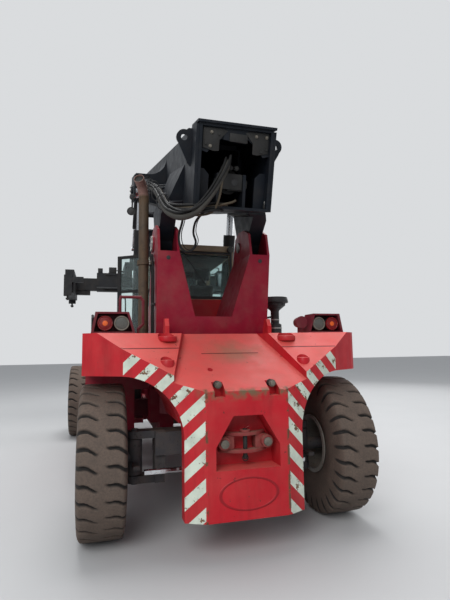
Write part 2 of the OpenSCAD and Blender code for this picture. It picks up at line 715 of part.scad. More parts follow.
module dashboard() color("dimgray") {
    y1 = cab_rear_y + cab_len - cab_wall;
    z0 = cab_floor_z + cab_wall;
    block([-330, y1 - 210, z0], [430, y1 - 60, z0 + 90]);
    block([-60, y1 - 200, z0 + 90], [310, y1 - 70, z0 + 720]);
    translate([125, y1 - 260, z0 + 690]) rotate([35, 0, 0]) {
        rotate_extrude() translate([190, 0]) circle(d = 28);
        cylinder(h = 20, r = 50, center = true);
        for (a = [90, 210, 330]) rotate([0, 0, a]) block([0, -12, -6], [190, 12, 6]);
        translate([0, 0, -220]) cylinder(h = 220, r = 24);
    }
}

module cab_door_frame() color("black") on_door() {
    z0 = 1960;
    z1 = 3425;
    t = 36;
    difference() {
        union() {
            block([-t / 2, 22, z0], [t / 2, door_w, z1]);
            for (z = [2150, 3000]) {
                bar_z(0, 0, z, z + 100, 34);
                block([-8, 10, z], [8, 24, z + 100]);
            }
        }
        block([-t, 75, z0 + 55], [t, door_w - 55, 2855]);
        block([-t, 75, 2890], [t, door_w - 55, z1 - 42]);
        bar_z(0, 0, z0, z1, door_pin_d + 2 * pin_gap);
    }
}

module cab_door_glass() color("darkseagreen") on_door() {
    z0 = 1960;
    z1 = 3425;
    block([-3, 75, z0 + 55], [3, door_w - 55, 2855]);
    block([-3, 75, 2890], [3, door_w - 55, z1 - 42]);
}

// Boom
module boom_outer() color("darkslategray") on_boom() {
    half = boom_w / 2;
    difference() {
        union() {
            difference() {
                block([-half, -boom_tail, boom_rise], [half, boom_front, boom_top]);
                block([-half + boom_plate, -boom_tail - skin, boom_rise + boom_plate],
                    [half - boom_plate, boom_front + skin, boom_top - boom_plate]);
            }
            // overhanging cap at the tail
            block([-half - 25, -boom_tail - 30, boom_top - skin], [half + 25, -boom_tail + 330, boom_top + 25]);
            both_sides() {
                // side doubler that spreads the pivot load
                side_plate(half - skin, 36, [[-boom_tail + 10, boom_top - 15], [-50, boom_top - 15],
                    [1350, boom_rise], [-boom_tail + 10, boom_rise]]);
                // pivot lug, flaring out from the doubler into the fork
                intersection() {
                    cross_plate(-900, 2000, [[half - skin, 1000], [half + 36, 1000], [lug_out, 400],
                        [lug_out, -300], [lug_in, -300], [lug_in, 440], [half + 20, boom_rise - 20],
                        [half - skin, boom_rise - 20]]);
                    side_plate(0, 1000, [[-560, 1000], [640, 1000], [520, 470], [190, 60], [150, -120],
                        [50, -185], [-50, -185], [-150, -120], [-190, 60], [-460, 470]]);
                }
                // collar with an eye at the top
                difference() {
                    translate([0, ear_u + 20, 0]) rotate([90, 0, 0]) linear_extrude(40) {
                        polygon([[half + 5, boom_top - 35], [ear_x - 50, boom_top - 25], [ear_x + 85, ear_v],
                            [ear_x + 49, ear_v - 90], [half + 75, ear_v - 267], [half + 5, ear_v - 340]]);
                        translate([ear_x, ear_v]) circle(r = 85);
                    }
                    bar_y(ear_x, ear_u - 80, ear_u + 120, ear_v, 70);
                }
                // sliding pads at the mouth
                block([inner_w / 2 + pad_gap, boom_front - 220, boom_mid - 250],
                    [half - boom_plate + skin, boom_front, boom_mid + 250]);
            }
            block([-300, boom_front - 220, boom_rise + boom_plate - skin],
                [300, boom_front, inner_low - pad_gap]);
            block([-300, boom_front - 220, inner_top + pad_gap],
                [300, boom_front, boom_top - boom_plate + skin]);
            // mouth stiffener
            difference() {
                block([-half - 30, boom_front - 180, boom_rise - 30],
                    [half + 30, boom_front - 60, boom_top + 30]);
                block([-half + 1, boom_front - 200, boom_rise + 1], [half - 1, boom_front, boom_top - 1]);
            }
            lift_bracket();
            tail_fittings();
        }
        both_sides() bar_x(lug_in - 60, lug_out + 60, 0, 0, pivot_pin_d + 2 * pin_gap);
    }
}

// Crosshead that carries the rods of the lift cylinders: flared in a hollow curve
module lift_bracket() {
    half = boom_w / 2;
    cheek = cheek_x;
    curve_r = 270;
    roof = lift_top_v + 264;
    low = cheek_low;
    slot_top = lift_top_v + 235;
    both_sides() difference() {
        cross_plate(bracket_rear, 640, concat(
            [for (a = [180 : 6 : 270]) [half + curve_r + curve_r * cos(a), roof + curve_r + curve_r * sin(a)]],
            [[lift_slot_out, roof], [cheek, roof - 28], [cheek, low], [lift_slot_out, low],
                [lift_slot_out, slot_top], [lift_slot_in, slot_top], [lift_slot_in, low],
                [lift_slot_in - 35, low], [half - 2, boom_rise + 60], [half - 2, roof + curve_r]]));
        block([half - 10, lift_top_u - 400, boom_top], [2000, lift_top_u + 600, 3000]);
    }
    // bosses and covers of the upper pins, outside the open cheeks
    both_sides() bar_x(lift_slot_out + 27, lift_slot_out + 60, lift_top_u, lift_top_v, 190);
}

// What shows inside the open tail
module tail_fittings() {
    half = boom_w / 2 - boom_plate + skin;
    both_sides() {
        cross_plate(-boom_tail + 40, 30, [[half, boom_top - boom_plate + 1], [half, boom_top - 280],
            [half - 70, boom_top - 300], [half - 150, boom_top - 200], [half - 260, boom_top - 120],
            [half - 280, boom_top - boom_plate + 1]]);
        cross_plate(-boom_tail + 120, 30, [[half, boom_rise + boom_plate - 1], [half, boom_rise + 430],
            [half - 60, boom_rise + 430], [half - 120, boom_rise + 370],
            [half - 120, boom_rise + boom_plate - 1]]);
    }
    cross_plate(-boom_tail + 30, 40, [[-120, boom_top - boom_plate + 1], [-150, boom_top - 150],
        [110, boom_top - 170], [130, boom_top - boom_plate + 1]]);
    // lugs and pin that hold the base of the telescope cylinder
    floor_v = boom_rise + boom_plate - skin;
    both_sides() side_plate(138, 34, [[-boom_tail + 110, floor_v], [-boom_tail + 420, floor_v],
        [-boom_tail + 290, tele_z + 85], [-boom_tail + 140, tele_z + 85]]);
    bar_x(-185, 185, -boom_tail + 215, tele_z, 60);
}

module telescope_barrel() color("gray") on_boom() {
    difference() {
        union() {
            bar_y(0, -boom_tail + 280, 5100, tele_z, 229);
            bar_y(0, -boom_tail + 270, -boom_tail + 340, tele_z, 270);
            block([-130, -boom_tail + 150, tele_z - 85], [130, -boom_tail + 281, tele_z + 85]);
        }
        bar_y(0, -500, 5101, tele_z, tele_rod_d + 2 * pin_gap);
        bar_x(-200, 200, -boom_tail + 215, tele_z, 60 + 2 * pin_gap);
    }
}

module boom_inner() color("darkslategray") on_boom() {
    half = inner_w / 2;
    wall = 20;
    difference() {
        block([-half, -150, inner_low], [half, head_u - 500, inner_top]);
        block([-half + wall, -151, inner_low + wall], [half - wall, head_u - 520, inner_top - wall]);
    }
    // bulkhead and rod of the telescope cylinder
    block([-half + wall - 1, 5300, inner_low + wall - 1], [half - wall + 1, 5340, inner_top - wall + 1]);
    bar_y(0, -480, 5301, tele_z, tele_rod_d);
    // pads at the inner end
    both_sides() block([half - 1, -150, boom_mid - 250],
        [boom_w / 2 - boom_plate - pad_gap, 60, boom_mid + 250]);
    block([-300, -150, boom_rise + boom_plate + pad_gap], [300, 60, inner_low + 1]);
    block([-300, -150, inner_top - 1], [300, 60, boom_top - boom_plate - pad_gap]);
    // lugs of the damping cylinders
    both_sides() block([half - 1, damper_u - 122, damper_v - 111], [half + 40, damper_u + 118, damper_v + 109]);
    both_sides() bar_x(half + 30, half + 160, damper_u, damper_v, 70);
}

module boom_head() color("darkslategray") on_boom() {
    u0 = head_u - 500;
    both_sides() difference() {
        side_plate(inner_w / 2 - 60, 60, [[u0, inner_low], [u0, inner_top], [head_u - 60, inner_top],
            [head_u + 240, inner_low + 145], [head_u + 200, -head_drop - 60],
            [head_u + 120, -head_drop - 170], [head_u - 120, -head_drop - 170],
                [head_u - 200, -head_drop - 40], [head_u - 330, inner_low - 255]]);
        bar_x(200, 500, head_u, -head_drop, 120 + 2 * pin_gap);
    }
    block([-inner_w / 2 + 59, u0, inner_top - 40], [inner_w / 2 - 59, head_u - 60, inner_top]);
    block([-inner_w / 2 + 59, u0, inner_low], [inner_w / 2 - 59, u0 + 40, inner_top]);
    block([-inner_w / 2 + 59, head_u + 60, inner_low - 135], [inner_w / 2 - 59, head_u + 100, inner_low + 345]);
    // head pin
    bar_x(-inner_w / 2 - 20, inner_w / 2 + 20, head_u, -head_drop, 120);
    both_sides() bar_x(inner_w / 2, inner_w / 2 + 20, head_u, -head_drop, 170);
}

// Lift cylinders
module lift_barrel(side) color("black") on_lift(side) difference() {
    union() {
        bar_x(-lift_eye_half, lift_eye_half, 0, 0, 210);
        translate([0, 0, 60]) cylinder(h = lift_barrel_len - 60, d = lift_barrel_d);
        translate([0, 0, lift_barrel_len - 130]) cylinder(h = 130, d = lift_barrel_d + 6);
    }
    bar_x(-lift_eye_half - 1, lift_eye_half + 1, 0, 0, 110 + 2 * pin_gap);
    translate([0, 0, 180]) cylinder(h = lift_barrel_len, d = lift_rod_d + 2 * pin_gap);
}

module lift_rod(side) color("silver") on_lift(side) {
    bar_z(0, 0, 1500, lift_len - 60, lift_rod_d);
    bar_x(-lift_eye_half, lift_eye_half, 0, lift_len, 220);
}

// Damping cylinders between the boom's end and the yoke
damper_x = inner_w / 2 + 100;
damper_a = [boom_y(damper_u, damper_v), boom_z(damper_u, damper_v)];
damper_b = [head_y() - 420, head_z() - 620];
damper_len = norm(damper_b - damper_a);
damper_turn = atan2(damper_b[1] - damper_a[1], damper_b[0] - damper_a[0]);

module on_damper() { both_sides() translate([damper_x, damper_a[0], damper_a[1]]) rotate([damper_turn, 0,
    0]) children(); }

module damper_barrels() color("black") on_damper() difference() {
    union() {
        bar_x(-50, 50, 0, 0, 120);
        bar_y(0, 50, 1180, 0, 110);
    }
    bar_x(-60, 60, 0, 0, 70 + 2 * pin_gap);
    bar_y(0, 130, 1200, 0, 56 + 2 * pin_gap);
}

module damper_rods() color("silver") on_damper() {
    bar_y(0, 980, damper_len - 40, 0, 56);
    bar_x(-40, 40, damper_len, 0, 120);
}

// Yoke that hangs from the head pin and carries the fixed half of the slewing ring
module tilt_yoke() color("darkslategray") on_head() difference() {
    cheek = inner_w / 2 - 60 - move_gap;
    union() {
        bar_x(-cheek, cheek, 0, 0, 300);
        block([-cheek, -130, -620], [cheek, 130, 0]);
        block([-385, -430, -yoke_drop + 40], [385, 430, -620]);
        both_sides() side_plate(inner_w / 2 - 2, 40, [[-500, -700], [-500, -560], [-360, -540], [-200, -700]]);
        translate([0, 0, -yoke_drop - 90]) cylinder(h = 131, r = 520);
    }
    bar_x(-500, 500, 0, 0, 120 + 2 * pin_gap);
}

// Turning half of the slewing ring and the saddle in which the spreader shifts sideways
module slewing_carriage() color("black") on_head() {
    top = -yoke_drop - 90 - pad_gap;
    rail_low = -beam_drop - 55;
    wall_in = rail_y + 10;
    bar_z(0, 0, top - 110, top, 1000);
    block([-700, -wall_in - 80, top - 190], [700, wall_in + 80, top - 109]);
    for (s = [LEFT, RIGHT]) {
        at_end(s) block([-700, wall_in, rail_low - 60], [700, wall_in + 80, top - 189]);
        // claws under the slide rails
        at_end(s) block([-700, rail_y - 27, rail_low - 60], [700, wall_in + 1, rail_low - pad_gap]);
        on_side(s) block([620, -wall_in - 1, -beam_drop + move_gap], [700, wall_in + 1, top - 189]);
    }
}

// Spreader
module spreader_frame() color("black") on_spreader() {
    half_len = 2150;
    y = sp_beam_w / 2;
    z0 = -beam_drop - sp_beam_h;
    for (s = [LEFT, RIGHT]) {
        translate([0, s * sp_beam_y, z0]) {
            difference() {
                block([-half_len, -y, 0], [half_len, y, sp_beam_h]);
                block([-half_len - 1, -y + sp_wall, sp_wall], [half_len + 1, y - sp_wall, sp_beam_h - sp_wall]);
            }
            // pads at the mouth that the sliding beam leaves by
            on_side(-s) block([half_len - 160, -y + sp_wall - 1, sp_wall - 1],
                [half_len, y - sp_wall + 1, sp_wall + sp_gap - pad_gap]);
        }
        // slide rails that hang in the saddle's claws
        at_end(s) block([-1900, sp_beam_y + y - skin, -beam_drop - 55], [1900, rail_y, -beam_drop - 5]);
    }
    for (x = [-1900, -700, 600, 1800])
        block([x, -sp_beam_y + sp_beam_w / 2 - 1, -beam_drop - 300],
            [x + 120, sp_beam_y - sp_beam_w / 2 + 1, -beam_drop - 80]);
}

module spreader_beam(side) color("black") on_spreader() on_side(side) {
    wall = 14;
    y = -side * sp_beam_y;
    half = sp_beam_w / 2 - sp_wall - sp_gap;
    pad = sp_gap - pad_gap;
    z0 = -beam_drop - sp_beam_h;
    z_low = z0 + sp_wall + sp_gap;
    z_top = z0 + sp_beam_h - sp_wall - sp_gap;
    lock_x = lock_span_x / 2;
    lock_y = lock_span_y / 2;
    end_out = spreader_len / 2;
    end_in = end_out - 260;
    end_middle = end_out - 140;
    inner_end = 1700;
    housing_low = z0 - 340;
    // telescoping beam with pads at its inner end, inside the main beam
    difference() {
        union() {
            block([-inner_end, y - half, z_low], [end_in + skin, y + half, z_top]);
            block([-inner_end, y - half - pad, z_low - pad], [140 - inner_end, y + half + pad, z_top + pad]);
        }
        block([-inner_end - skin, y - half + wall, z_low + wall], [end_in - 30, y + half - wall, z_top - wall]);
    }
    // end beam across the spreader
    block([end_in, -spreader_w / 2 + 130, z0 - 240], [end_out - 20, spreader_w / 2 - 130, z0 + 420]);
    for (s = [LEFT, RIGHT]) at_end(s) {
        // corner housing with its lock
        block([lock_x - 110, lock_y - 100, housing_low], [lock_x + lock_margin, spreader_w / 2, z0 + 250]);
        // web from the end beam to the housing, wherever each of them stands
        block([min(lock_x, end_middle), lock_y - 95, z0 - 235],
            [max(lock_x, end_middle), spreader_w / 2 - 135, z0 + 245]);
        bar_z(lock_x, lock_y, housing_low - lock_neck - skin, housing_low + skin, lock_d);
        translate([lock_x, 0, housing_low - lock_neck]) cross_plate(lock_y - lock_d / 2, lock_d, [[-50, 0],
            [50, 0], [50, -25], [24, -60], [-24, -60], [-50, -25]]);
        // lock cylinder and its cover
        block([lock_x - 420, lock_y - 60, z0 + 40], [lock_x - 109, lock_y + 60, z0 + 200]);
    }
    // brace between the end beam and the telescoping beam
    block([end_in - 420, y - half + 20, z0 - 120], [end_in + skin, y + half - 20, z_low + skin]);
}

// Wheels
module tyre_ring() {
    half = tyre_w / 2;
    r = tyre_d / 2;
    r0 = rim_d / 2 + pin_gap;
    rotate([0, 90, 0]) rotate_extrude($fn = 96) polygon([
        [r0, -half + 60], [r0 + 30, -half + 55], [r0 + 110, -half + 22], [r0 + 230, -half],
        [r - 140, -half + 6], [r - 50, -half + 20], [r - 12, -half + 42], [r, -half + 90],
        [r, half - 90], [r - 12, half - 42], [r - 50, half - 20], [r - 140, half - 6],
        [r0 + 230, half], [r0 + 110, half - 22], [r0 + 30, half - 55], [r0, half - 60]]);
}

// A rim with its disc set disc_x out of the middle, and a hub of radius hub_r
module rim(disc_x, hub_r, hub_x0, hub_x1) {
    half = tyre_w / 2;
    r = rim_d / 2;
    rotate([0, 90, 0]) {
        rotate_extrude($fn = 96) polygon([[r - 16, -half + 30], [r + 28, -half + 30],
            [r + 28, -half + 44], [r, -half + 52], [r, half - 52], [r + 28, half - 44],
            [r + 28, half - 30], [r - 16, half - 30]]);
        translate([0, 0, disc_x]) cylinder(h = 30, r = r - 10);
        translate([0, 0, hub_x0]) cylinder(h = hub_x1 - hub_x0, r = hub_r);
    }
}

module at_rear_wheel(side) { on_side(side) translate([steer_track_half, rear_axle_y, axle_z]) children(); }
module at_front_wheel(side, i) { on_side(side) translate([dual_inner_x + i * dual_spacing, front_axle_y,
    axle_z]) children(); }

module rim_rear(side) color("gray") at_rear_wheel(side) difference() {
    rim(60, 170, 10, 200);
    bar_x(-400, 151, 0, 0, spindle_d + 2 * pin_gap);
}

module tyre_rear(side) color("dimgray") at_rear_wheel(side) tyre_ring();

module rims_front(side) color("gray") difference() {
    union() {
        at_front_wheel(side, 0) rim(-70, 225, -140, dual_spacing - 60);
        at_front_wheel(side, 1) rim(-70, 225, -120, 60);
        at_front_wheel(side, 1) bar_x(40, 190, 0, 0, 330);
    }
    on_side(side) bar_x(1000, 1901, front_axle_y, axle_z, hub_d + 2 * pin_gap);
}

module tyres_front(side) color("dimgray") for (i = [0, 1]) at_front_wheel(side, i) tyre_ring();

on_row() main_frame();
on_row() counterweight();
on_row() tow_coupling();
on_row() boom_towers();
on_row() chassis_pins();
on_row() lamp_boxes();
on_row() rear_lamps();
on_row() steer_axle();
on_row() steer_rod();
on_row() knuckle(LEFT);  // knuckle_left
on_row() knuckle(RIGHT);  // knuckle_right
on_row() drive_axle();
on_row() engine_block();
on_row() engine_cover();
on_row() fuel_tank();
on_row() hydraulic_tank();
on_row() decks_and_steps();
on_row() handrails();
on_row() exhaust_pipe();
on_row() air_precleaner();
on_row() cab_base();
on_row() cab_frame();
on_row() cab_glass();
on_row() driver_seat();
on_row() dashboard();
on_row() cab_door_frame();
on_row() cab_door_glass();
on_row() boom_outer();
on_row() telescope_barrel();
on_row() boom_inner();
on_row() boom_head();
on_row() lift_barrel(LEFT);  // lift_barrel_left
on_row() lift_barrel(RIGHT);  // lift_barrel_right
on_row() lift_rod(LEFT);  // lift_rod_left
on_row() lift_rod(RIGHT);  // lift_rod_right
on_row() damper_barrels();
on_row() damper_rods();
on_row() tilt_yoke();
on_row() slewing_carriage();
on_row() spreader_frame();
on_row() spreader_beam(LEFT);  // spreader_beam_left
on_row() spreader_beam(RIGHT);  // spreader_beam_right
on_row() rim_rear(LEFT);  // rim_rear_left
on_row() rim_rear(RIGHT);  // rim_rear_right
on_row() rims_front(LEFT);  // rims_front_left
on_row() rims_front(RIGHT);  // rims_front_right
on_row() tyre_rear(LEFT);  // tyre_rear_left
on_row() tyre_rear(RIGHT);  // tyre_rear_right
on_row() tyres_front(LEFT);  // tyres_front_left
on_row() tyres_front(RIGHT);  // tyres_front_right
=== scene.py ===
"""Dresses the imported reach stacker: finishes, tyres, lamps, fittings, and the stage."""

import json
import math

import bmesh
import bpy
from bpy.props import FloatProperty, FloatVectorProperty, IntProperty, PointerProperty
from bpy.types import Operator, Panel, PropertyGroup
from mathutils import Matrix, Vector


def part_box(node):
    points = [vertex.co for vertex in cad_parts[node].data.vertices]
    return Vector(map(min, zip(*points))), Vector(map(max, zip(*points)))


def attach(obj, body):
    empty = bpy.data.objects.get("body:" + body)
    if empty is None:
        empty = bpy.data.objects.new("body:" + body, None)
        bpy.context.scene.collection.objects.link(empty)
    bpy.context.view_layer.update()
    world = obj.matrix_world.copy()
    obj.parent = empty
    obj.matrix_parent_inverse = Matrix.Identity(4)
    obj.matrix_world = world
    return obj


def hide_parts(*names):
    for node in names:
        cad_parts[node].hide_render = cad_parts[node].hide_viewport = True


bl_info = {
    "name": "Reach stacker",
    "version": (1, 0, 0),
    "blender": (4, 5, 0),
    "location": "3D View > Sidebar > Reach stacker",
    "description": "Dresses the packed reach stacker and sets its stage",
    "category": "Object",
}

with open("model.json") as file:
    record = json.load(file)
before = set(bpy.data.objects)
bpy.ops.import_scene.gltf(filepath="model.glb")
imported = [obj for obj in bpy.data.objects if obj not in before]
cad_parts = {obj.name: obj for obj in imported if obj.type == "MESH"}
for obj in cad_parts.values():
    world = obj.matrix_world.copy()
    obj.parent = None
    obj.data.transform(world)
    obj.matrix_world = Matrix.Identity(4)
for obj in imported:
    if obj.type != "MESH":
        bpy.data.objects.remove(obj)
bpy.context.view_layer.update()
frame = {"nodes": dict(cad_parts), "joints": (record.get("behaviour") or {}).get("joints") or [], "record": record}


def joint(name):
    """The frame's joint of that name."""
    return next(j for j in frame["joints"] if j["name"] == name)


CAST_LOW, CAST_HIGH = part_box("counterweight")
CENTRE_X = (CAST_LOW.x + CAST_HIGH.x) / 2
REAR_Y = CAST_LOW.y
PIVOT = Vector(joint("boom_luff")["pos_m"])
ALONG = -Vector(joint("boom_telescope")["axis"]).normalized()
ABOVE = Vector((0, -ALONG.z, ALONG.y))
AHEAD = Vector((0, 1, 0))
UP = Vector((0, 0, 1))
SIDES = (-1, 1)
SIDE_NAMES = {-1: "left", 1: "right"}
SLOT_OF = {part["node"]: part["material_slot"] for part in frame["record"]["subparts"]}


def place(x, y, z):
    """A point given from the chassis centre plane, the rear face and the ground."""
    return Vector((CENTRE_X + x, REAR_Y + y, z))


def on_boom(x, u, v):
    """A point given from the boom's pivot: across, along and above."""
    return Vector((CENTRE_X + x, PIVOT.y, PIVOT.z)) + u * ALONG + v * ABOVE


def colour_field(name, description, default):
    """A colour that the panel shows."""
    return FloatVectorProperty(
        name=name, description=description, default=default, subtype="COLOR", size=3, min=0, max=1
    )


def length_field(name, description, default):
    """A length in metres that the panel shows."""
    return FloatProperty(name=name, description=description, default=default, unit="LENGTH", min=0)


class PaintColours(PropertyGroup):
    """Colours of the paints and bare materials."""

    body: colour_field("Body red", "Red of the counterweight and cab", (0.50, 0.008, 0.018))
    # lighter, paler red of upward faces: partly sun-fading, partly painted top light
    body_sunfaded_and_lit: colour_field("Faded red", "Red that the sun has faded", (0.62, 0.085, 0.075))
    frame_red: colour_field("Frame red", "Darker red of the towers and tanks", (0.25, 0.002, 0.022))
    boom: colour_field("Boom", "Blue-black of the boom and spreader", (0.006, 0.009, 0.014))
    axle: colour_field("Axles", "Grey of the axles", (0.045, 0.045, 0.05))
    roof: colour_field("Cab roof", "Beige of the cab's roof", (0.42, 0.33, 0.22))
    stripe: colour_field("Stripe", "Greenish white of the warning stripes", (0.62, 0.68, 0.58))
    dust: colour_field("Dust", "Brown of the road dust", (0.20, 0.15, 0.11))
    rubber: colour_field("Tyre dust", "Dusty brown on the tyres' lugs", (0.135, 0.10, 0.08))
    rust: colour_field("Rust", "Brown of the exhaust pipe", (0.062, 0.045, 0.028))


class StripeSizes(PropertyGroup):
    """Warning stripes on the counterweight's flanks."""

    pitch: length_field("Pitch", "Height from one stripe to the next", 0.2625)
    white: length_field("White", "Height of the white part", 0.125)
    start: length_field("Start", "Height plus distance outwards at which a white part begins", 2.66)
    inner: length_field("Inner edge", "Distance of the inner edge from the centre plane", 0.428)
    outer: length_field("Outer edge", "Distance of the outer edge from the centre plane", 1.182)


class MarkSizes(PropertyGroup):
    """Seams, edges and the oval of the counterweight, from its centre plane, rear face and the ground."""

    flank_start: length_field("Flank start", "Distance of the flank's rear edge from the centre plane", 0.415)
    flank_slope: FloatProperty(name="Flank slope", description="How far the flank runs ahead outwards",
                               default=0.49)
    cap_seam: length_field("Cap seam", "Place of the shoulders' seam, carried on to the centre plane", 0.667)
    cap_slant: FloatProperty(name="Cap slant", description="How far that seam runs back outwards",
                             default=0.236)
    cap_in: length_field("Cap inner end", "Distance at which the shoulders' seam begins", 0.567)
    cap_out: length_field("Cap outer end", "Distance at which the shoulders' seam ends", 1.19)
    trough_seam: length_field("Trough seam", "Place of the seam across the trough", 0.60)
    trough_half: length_field("Trough half", "Half length of the seam across the trough", 0.33)
    oval_centre: length_field("Oval centre", "Height of the oval's centre", 0.606)
    oval_wide: length_field("Oval half width", "Half width of the oval", 0.299)
    oval_tall: length_field("Oval half height", "Half height of the oval", 0.154)


class TyreSizes(PropertyGroup):
    """Tread of the heavy tyres."""

    pitches: IntProperty(name="Grooves", description="Grooves round each side", default=30, min=12)
    steps: IntProperty(name="Steps", description="Mesh steps from groove to groove", default=16, min=6)
    depth: length_field("Depth", "Depth of a groove at the shoulder", 0.046)
    width: length_field("Width", "Width of a groove at the shoulder", 0.052)
    wave: length_field("Wave", "How far a groove swings to either side", 0.012)
    slant: FloatProperty(name="Slant", description="How far a groove leans for its length", default=0.3)


class FittingSizes(PropertyGroup):
    """Small hardware."""

    bolt: length_field("Bolt", "Width of a bolt head", 0.036)
    hose: length_field("Hose", "Diameter of a hydraulic hose", 0.036)
    lamp: length_field("Lamp", "Diameter of a rear lamp", 0.164)


class StageSettings(PropertyGroup):
    """Floor, light and camera."""

    floor: colour_field("Floor", "Colour of the floor and backdrop", (0.50, 0.505, 0.51))
    sky: FloatProperty(name="Sky", description="Strength of the light from all round", default=0.56, min=0)
    key: FloatProperty(name="Key", description="Strength of the soft light overhead", default=1.9, min=0)
    lens: FloatProperty(name="Lens", description="Focal length in millimetres", default=27, min=10)


class MachineSettings(PropertyGroup):
    """Everything that the panel shows."""

    colours: PointerProperty(type=PaintColours)
    stripes: PointerProperty(type=StripeSizes)
    marks: PointerProperty(type=MarkSizes)
    tyres: PointerProperty(type=TyreSizes)
    fittings: PointerProperty(type=FittingSizes)
    stage: PointerProperty(type=StageSettings)


def settings():
    """The scene's settings for this machine."""
    return bpy.context.scene.reach_stacker


# Finishes


class Finish:
    """A material in the making: its shader and the nodes that feed it."""

    def __init__(self, name):
        self.material = bpy.data.materials.new(name)
        self.material.use_nodes = True
        self.tree = self.material.node_tree
        self.shader = self.tree.nodes["Principled BSDF"]
        self.coords = self.make("ShaderNodeTexCoord").outputs["Object"]

    def make(self, kind, **values):
        """A new node with some of its settings."""
        made = self.tree.nodes.new(kind)
        for key, value in values.items():
            setattr(made, key, value)
        return made

    def feed(self, socket, value):
        """Links a socket to another, or gives it a value."""
        if isinstance(value, bpy.types.NodeSocket):
            self.tree.links.new(value, socket)
        else:
            socket.default_value = value

    def math(self, operation, first, second=0.0, clamp=False):
        """One sum of two values."""
        made = self.make("ShaderNodeMath", operation=operation, use_clamp=clamp)
        self.feed(made.inputs[0], first)
        self.feed(made.inputs[1], second)
        return made.outputs[0]

    def less(self, first, second):
        """The first value less the second."""
        return self.math("SUBTRACT", first, second)

    def product(self, first, *others):
        """Several values multiplied."""
        for other in others:
            first = self.math("MULTIPLY", first, other)
        return first

    def between(self, value, low, high):
        """One where a value lies between two others, nought elsewhere."""
        return self.product(self.math("GREATER_THAN", value, low), self.math("LESS_THAN", value, high))

    def length(self, first, second):
        """The long side of a right-angled triangle of two values."""
        return self.math("SQRT", self.math("ADD", self.product(first, first), self.product(second, second)))

    def noise(self, scale, detail=4.0, roughness=0.55, stretch=None, shift=(0, 0, 0)):
        """Cloudy noise over the object's own coordinates."""
        source = self.coords
        if stretch or any(shift):
            mapping = self.make("ShaderNodeMapping")
            self.feed(mapping.inputs["Vector"], source)
            mapping.inputs["Scale"].default_value = stretch or (1, 1, 1)
            mapping.inputs["Location"].default_value = shift
            source = mapping.outputs[0]
        made = self.make("ShaderNodeTexNoise")
        self.feed(made.inputs["Vector"], source)
        made.inputs["Scale"].default_value = scale
        made.inputs["Detail"].default_value = detail
        made.inputs["Roughness"].default_value = roughness
        return made.outputs[0]

    def band(self, value, low, high, to_low=0.0, to_high=1.0):
        """A value stretched from one range to another, and held at its ends."""
        made = self.make("ShaderNodeMapRange", clamp=True)
        for socket, given in zip(made.inputs, (value, low, high, to_low, to_high)):
            self.feed(socket, given)
        return made.outputs[0]

    def mix(self, amount, first, second):
        """A colour between two."""
        made = self.make("ShaderNodeMix", data_type="RGBA")
        self.feed(made.inputs[0], amount)
        for socket, given in ((made.inputs[6], first), (made.inputs[7], second)):
            if not isinstance(given, bpy.types.NodeSocket):
                given = (*given[:3], 1)
            self.feed(socket, given)
        return made.outputs[2]

    def parts(self, vector):
        """The x, y and z of a vector."""
        made = self.make("ShaderNodeSeparateXYZ")
        self.feed(made.inputs[0], vector)
        return made.outputs

    def normal(self):
        """The x, y and z of the surface's direction."""
        return self.parts(self.make("ShaderNodeNewGeometry").outputs["Normal"])

    def bump(self, height, strength=0.3, distance=0.004, under=None):
        """Small relief."""
        made = self.make("ShaderNodeBump")
        made.inputs["Strength"].default_value = strength
        made.inputs["Distance"].default_value = distance
        self.feed(made.inputs["Height"], height)
        if under:
            self.feed(made.inputs["Normal"], under)
        return made.outputs[0]

    def done(self, colour, roughness, normal=None, metallic=0.0, **sockets):
        """Sets the shader's sockets."""
        if not isinstance(colour, bpy.types.NodeSocket):
            colour = (*colour[:3], 1)
        self.feed(self.shader.inputs["Base Color"], colour)
        self.feed(self.shader.inputs["Roughness"], roughness)
        self.shader.inputs["Metallic"].default_value = metallic
        if normal:
            self.feed(self.shader.inputs["Normal"], normal)
        for key, value in sockets.items():
            self.shader.inputs[key.replace("_", " ")].default_value = value
        return self.material


def darker(colour, share=0.6):
    """The same colour with less light."""
    return tuple(c * share for c in colour[:3])


class Paint(Finish):
    """Weathered paint: paler on top, partly from sun-fading and partly as painted top light, streaked on the
    walls, dusty and chipped.
    """

    def __init__(self, name, colour, faded, fade=0.5, dirt=0.4, chips=0.5, streaks=0.3):
        super().__init__(name)
        self.relief = None
        dust = settings().colours.dust
        self.facing = self.normal()
        self.up = self.band(self.facing[2], 0.2, 0.8)
        broad = self.band(self.noise(1.1, 3), 0.35, 0.7)
        tone = self.mix(broad, darker(colour, 0.82), colour)
        patches = self.product(self.band(self.noise(2.6, 5), 0.45, 0.8), 0.22)
        # upward faces turn paler and lighter: partly sun-fading, partly painted light from the sky above
        tone = self.mix(self.math("ADD", self.product(self.up, fade), patches), tone, faded)
        streak = self.band(self.noise(7, 6, 0.6, (1, 1, 0.12)), 0.48, 0.72)
        tone = self.mix(self.product(streak, self.less(1.0, self.up), streaks), tone, darker(colour, 0.45))
        cloud = self.band(self.noise(4.2, 8, 0.65, shift=(3, 1, 2)), 0.42, 0.72)
        self.dust = self.product(cloud, self.band(self.up, 0, 1, 0.45 * dirt, dirt))
        tone = self.mix(self.dust, tone, dust)
        self.chips = self.product(self.band(self.noise(21, 7, 0.62, shift=(1, 5, 9)), 0.685, 0.70), chips)
        self.tone = self.mix(self.chips, tone, (0.035, 0.022, 0.016))

    def finish(self, roughness, gloss=0.28):
        """Sets the shader of the paint."""
        relief = self.bump(self.noise(160, 2), 0.12, 0.001)
        relief = self.bump(self.less(1.0, self.chips), 0.35, 0.002, relief)
        if self.relief:
            relief = self.bump(self.relief, 0.9, 0.006, relief)
        shine = self.band(self.noise(9, 4), 0.3, 0.7, roughness - 0.07, roughness + 0.1)
        shine = self.math("ADD", shine, self.product(self.dust, 0.35), clamp=True)
        return self.done(self.tone, shine, relief, Specular_IOR_Level=gloss)


